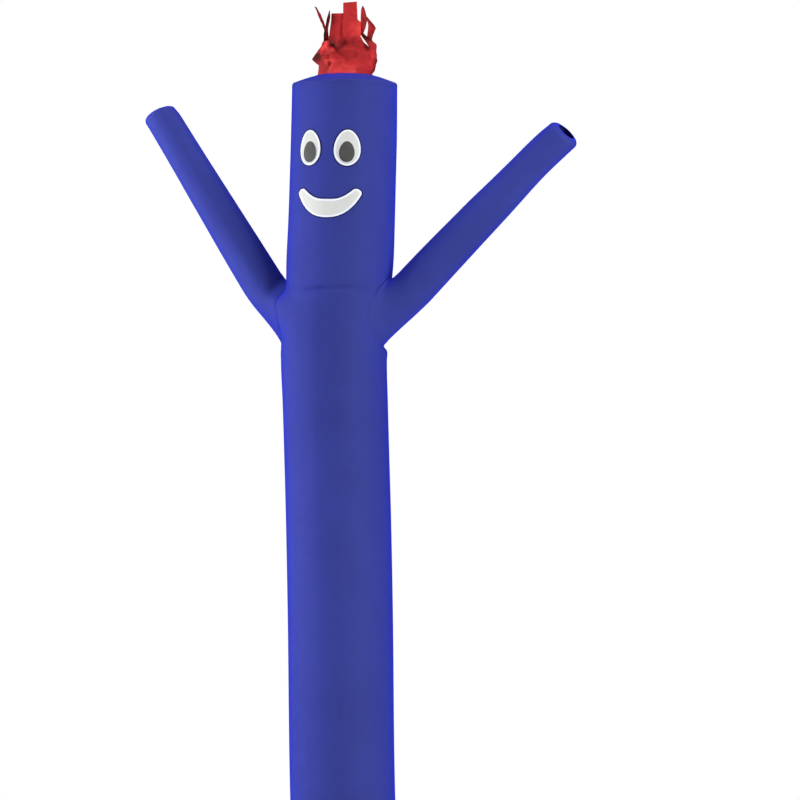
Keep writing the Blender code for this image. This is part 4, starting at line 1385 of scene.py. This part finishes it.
def make_floor():
    """A round pale floor: a square grid drawn out to a circle. Of u and v from -1 to 1, x is u times
    the root of 1 - v^2 / 2, and y is v times the root of 1 - u^2 / 2."""
    side = np.linspace(-1, 1, FLOOR_CORNERS)
    u, v = np.meshgrid(side, side)
    points = FLOOR_RADIUS * np.stack([u * np.sqrt(1 - v**2 / 2), v * np.sqrt(1 - u**2 / 2), 0 * u], -1)
    r, c = grid_faces(FLOOR_CORNERS, FLOOR_CORNERS)
    floor = mesh_piece("floor", points, r * FLOOR_CORNERS + c)
    floor.data.materials.append(floor_material())
    floor.location.z = -FLOOR_DROP


def make_studio():
    """The camera, background, floor and lights."""
    make_camera()
    make_world()
    make_floor()
    for name, (azimuth, distance, height, size, power) in LIGHTS.items():
        area_light(name, studio_place(azimuth, distance, height), CHEST, size, power)
    bpy.context.scene.view_settings.view_transform = "Standard"


# ---- The dancer ----
def dress():
    """Makes every piece: the cloth first, then its seams, then the face."""
    # The fold colours are painted light: painted shade in the valleys, and on the red a painted highlight on
    # the crowns.
    folds = (BLUE_SHADE, BLUE)
    blue = ripstop_cloth("blue_ripstop", BLUE, BLUE_DEEP, folds, 0.66, 1.0, BLUE_SHEEN, 0.5)
    # The top panel has a copy of the same cloth with less sheen: a shaded copy that dims the light the top
    # catches.
    shaded_top_blue = ripstop_cloth("blue_ripstop_shaded_top", BLUE, BLUE_DEEP, folds, 0.66, 0.45, BLUE_SHEEN, 0.5)
    red = ripstop_cloth("red_ripstop", RED, RED_DEEP, (RED_SHADE, RED_PAINTED_HIGHLIGHT), 0.55, 0.04, RED_SHEEN, 1.0)
    blue_thread = seam_thread("blue_thread", BLUE_THREAD, darker(BLUE_THREAD, 0.8))

    body = tube_cloth("body_cloth", stations(*BODY_ROWS), BODY_COLUMNS)
    head = tube_cloth("head_cloth", stations(*HEAD_ROWS), HEAD_COLUMNS)
    crown = crown_cloth()
    cloths = [body, head, crown, *(arm_cloth(arm) for arm in ARMS)]
    for piece, solid in zip(cloths, ("body_tube", "head_tube", "crown", "arm_right", "arm_left")):
        give_thickness(piece, SHOWN_CLOTH)
        finish_piece(piece, shaded_top_blue if piece is crown else blue, "blue_ripstop", solid)
    hair = hair_cloth()
    finish_piece(hair, red, "red_ripstop", "hair")

    sewing = [
        threads("body_stitching", [ring_row(height) for height in BODY_RINGS] + back_rows(*BODY_BACK)),
        threads("head_stitching", [ring_row(height) for height in HEAD_RINGS] + back_rows(*HEAD_BACK)),
        threads("crown_stitching", [crown_row(share) for share in CROWN_RINGS]),
    ]
    for arm in ARMS:
        sewing.append(threads(arm.name + "_stitching", [arm_row(arm, along) for along in ARM_RINGS]))
    for piece in sewing:
        finish_piece(piece, blue_thread, "blue_ripstop")

    dress_face()


def dress_face():
    """The eyes, pupils and smile, each a patch with a stitched border, and a fine dark blue band of
    painted shade round the white ones."""
    white = plain_cloth("white_patch_cloth", PATCH_CLOTH, darker(PATCH_CLOTH, 0.95))
    grey = plain_cloth("grey_patch_cloth", PUPIL_CLOTH, darker(PUPIL_CLOTH, 0.85))
    white_thread = border_thread("white_thread", PATCH_THREAD, PATCH_THREAD_SHADE)
    grey_thread = border_thread("grey_thread", PUPIL_THREAD, darker(PUPIL_THREAD, 0.7))
    # The band round the white patches is painted shade, in dark blue.
    edge_shade_material = seam_thread("painted_edge_shade_band", EDGE_PAINTED_SHADE, darker(EDGE_PAINTED_SHADE, 0.6))

    def sew_white(cloth, names, outline, place, solid):
        border = edging(names.format("border"), outline, *place, PATCH_ABOVE, *BORDER)
        # A dark blue band just outside the border: painted shade round the patch.
        painted_shade_band = edging(names.format("edge"), outline + way_out(outline) * SHADE_BAND_OUT, *place, *SHADE_BAND_PLACE)
        finish_piece(cloth, white, "white_patch", solid)
        finish_piece(border, white_thread, "white_patch")
        finish_piece(painted_shade_band, edge_shade_material, "blue_ripstop")

    for eye in EYES:
        half, place = (eye.wide, eye.tall), (eye.bearing, eye.height)
        cloth = egg_patch("eye_" + eye.side, half, *place, PATCH_ABOVE)
        outline, solid = egg_outline(half, EYE_OUTLINE), "eye_white_" + eye.side
        sew_white(cloth, "eye_{}_" + eye.side, outline, place, solid)

        place = (eye.pupil_bearing, eye.pupil_height, PATCH_ABOVE * 2 + PATCH_THICK + PATCH_PUFF)
        pupil = egg_patch("pupil_cloth_" + eye.side, PUPIL_HALF, *place)
        outline = egg_outline(PUPIL_HALF, PUPIL_OUTLINE)
        border = edging("pupil_border_" + eye.side, outline, *place, *PUPIL_BORDER)
        finish_piece(pupil, grey, "grey_patch", "pupil_" + eye.side)
        finish_piece(border, grey_thread, "grey_patch")

    place = (SMILE_BEARING, SMILE_BOTTOM + SMILE_MIDDLE)
    smile = smile_patch("smile", *place, PATCH_ABOVE)
    sew_white(smile, "smile_{}", crescent_outline(), place, "mouth")


make_studio()
dress()
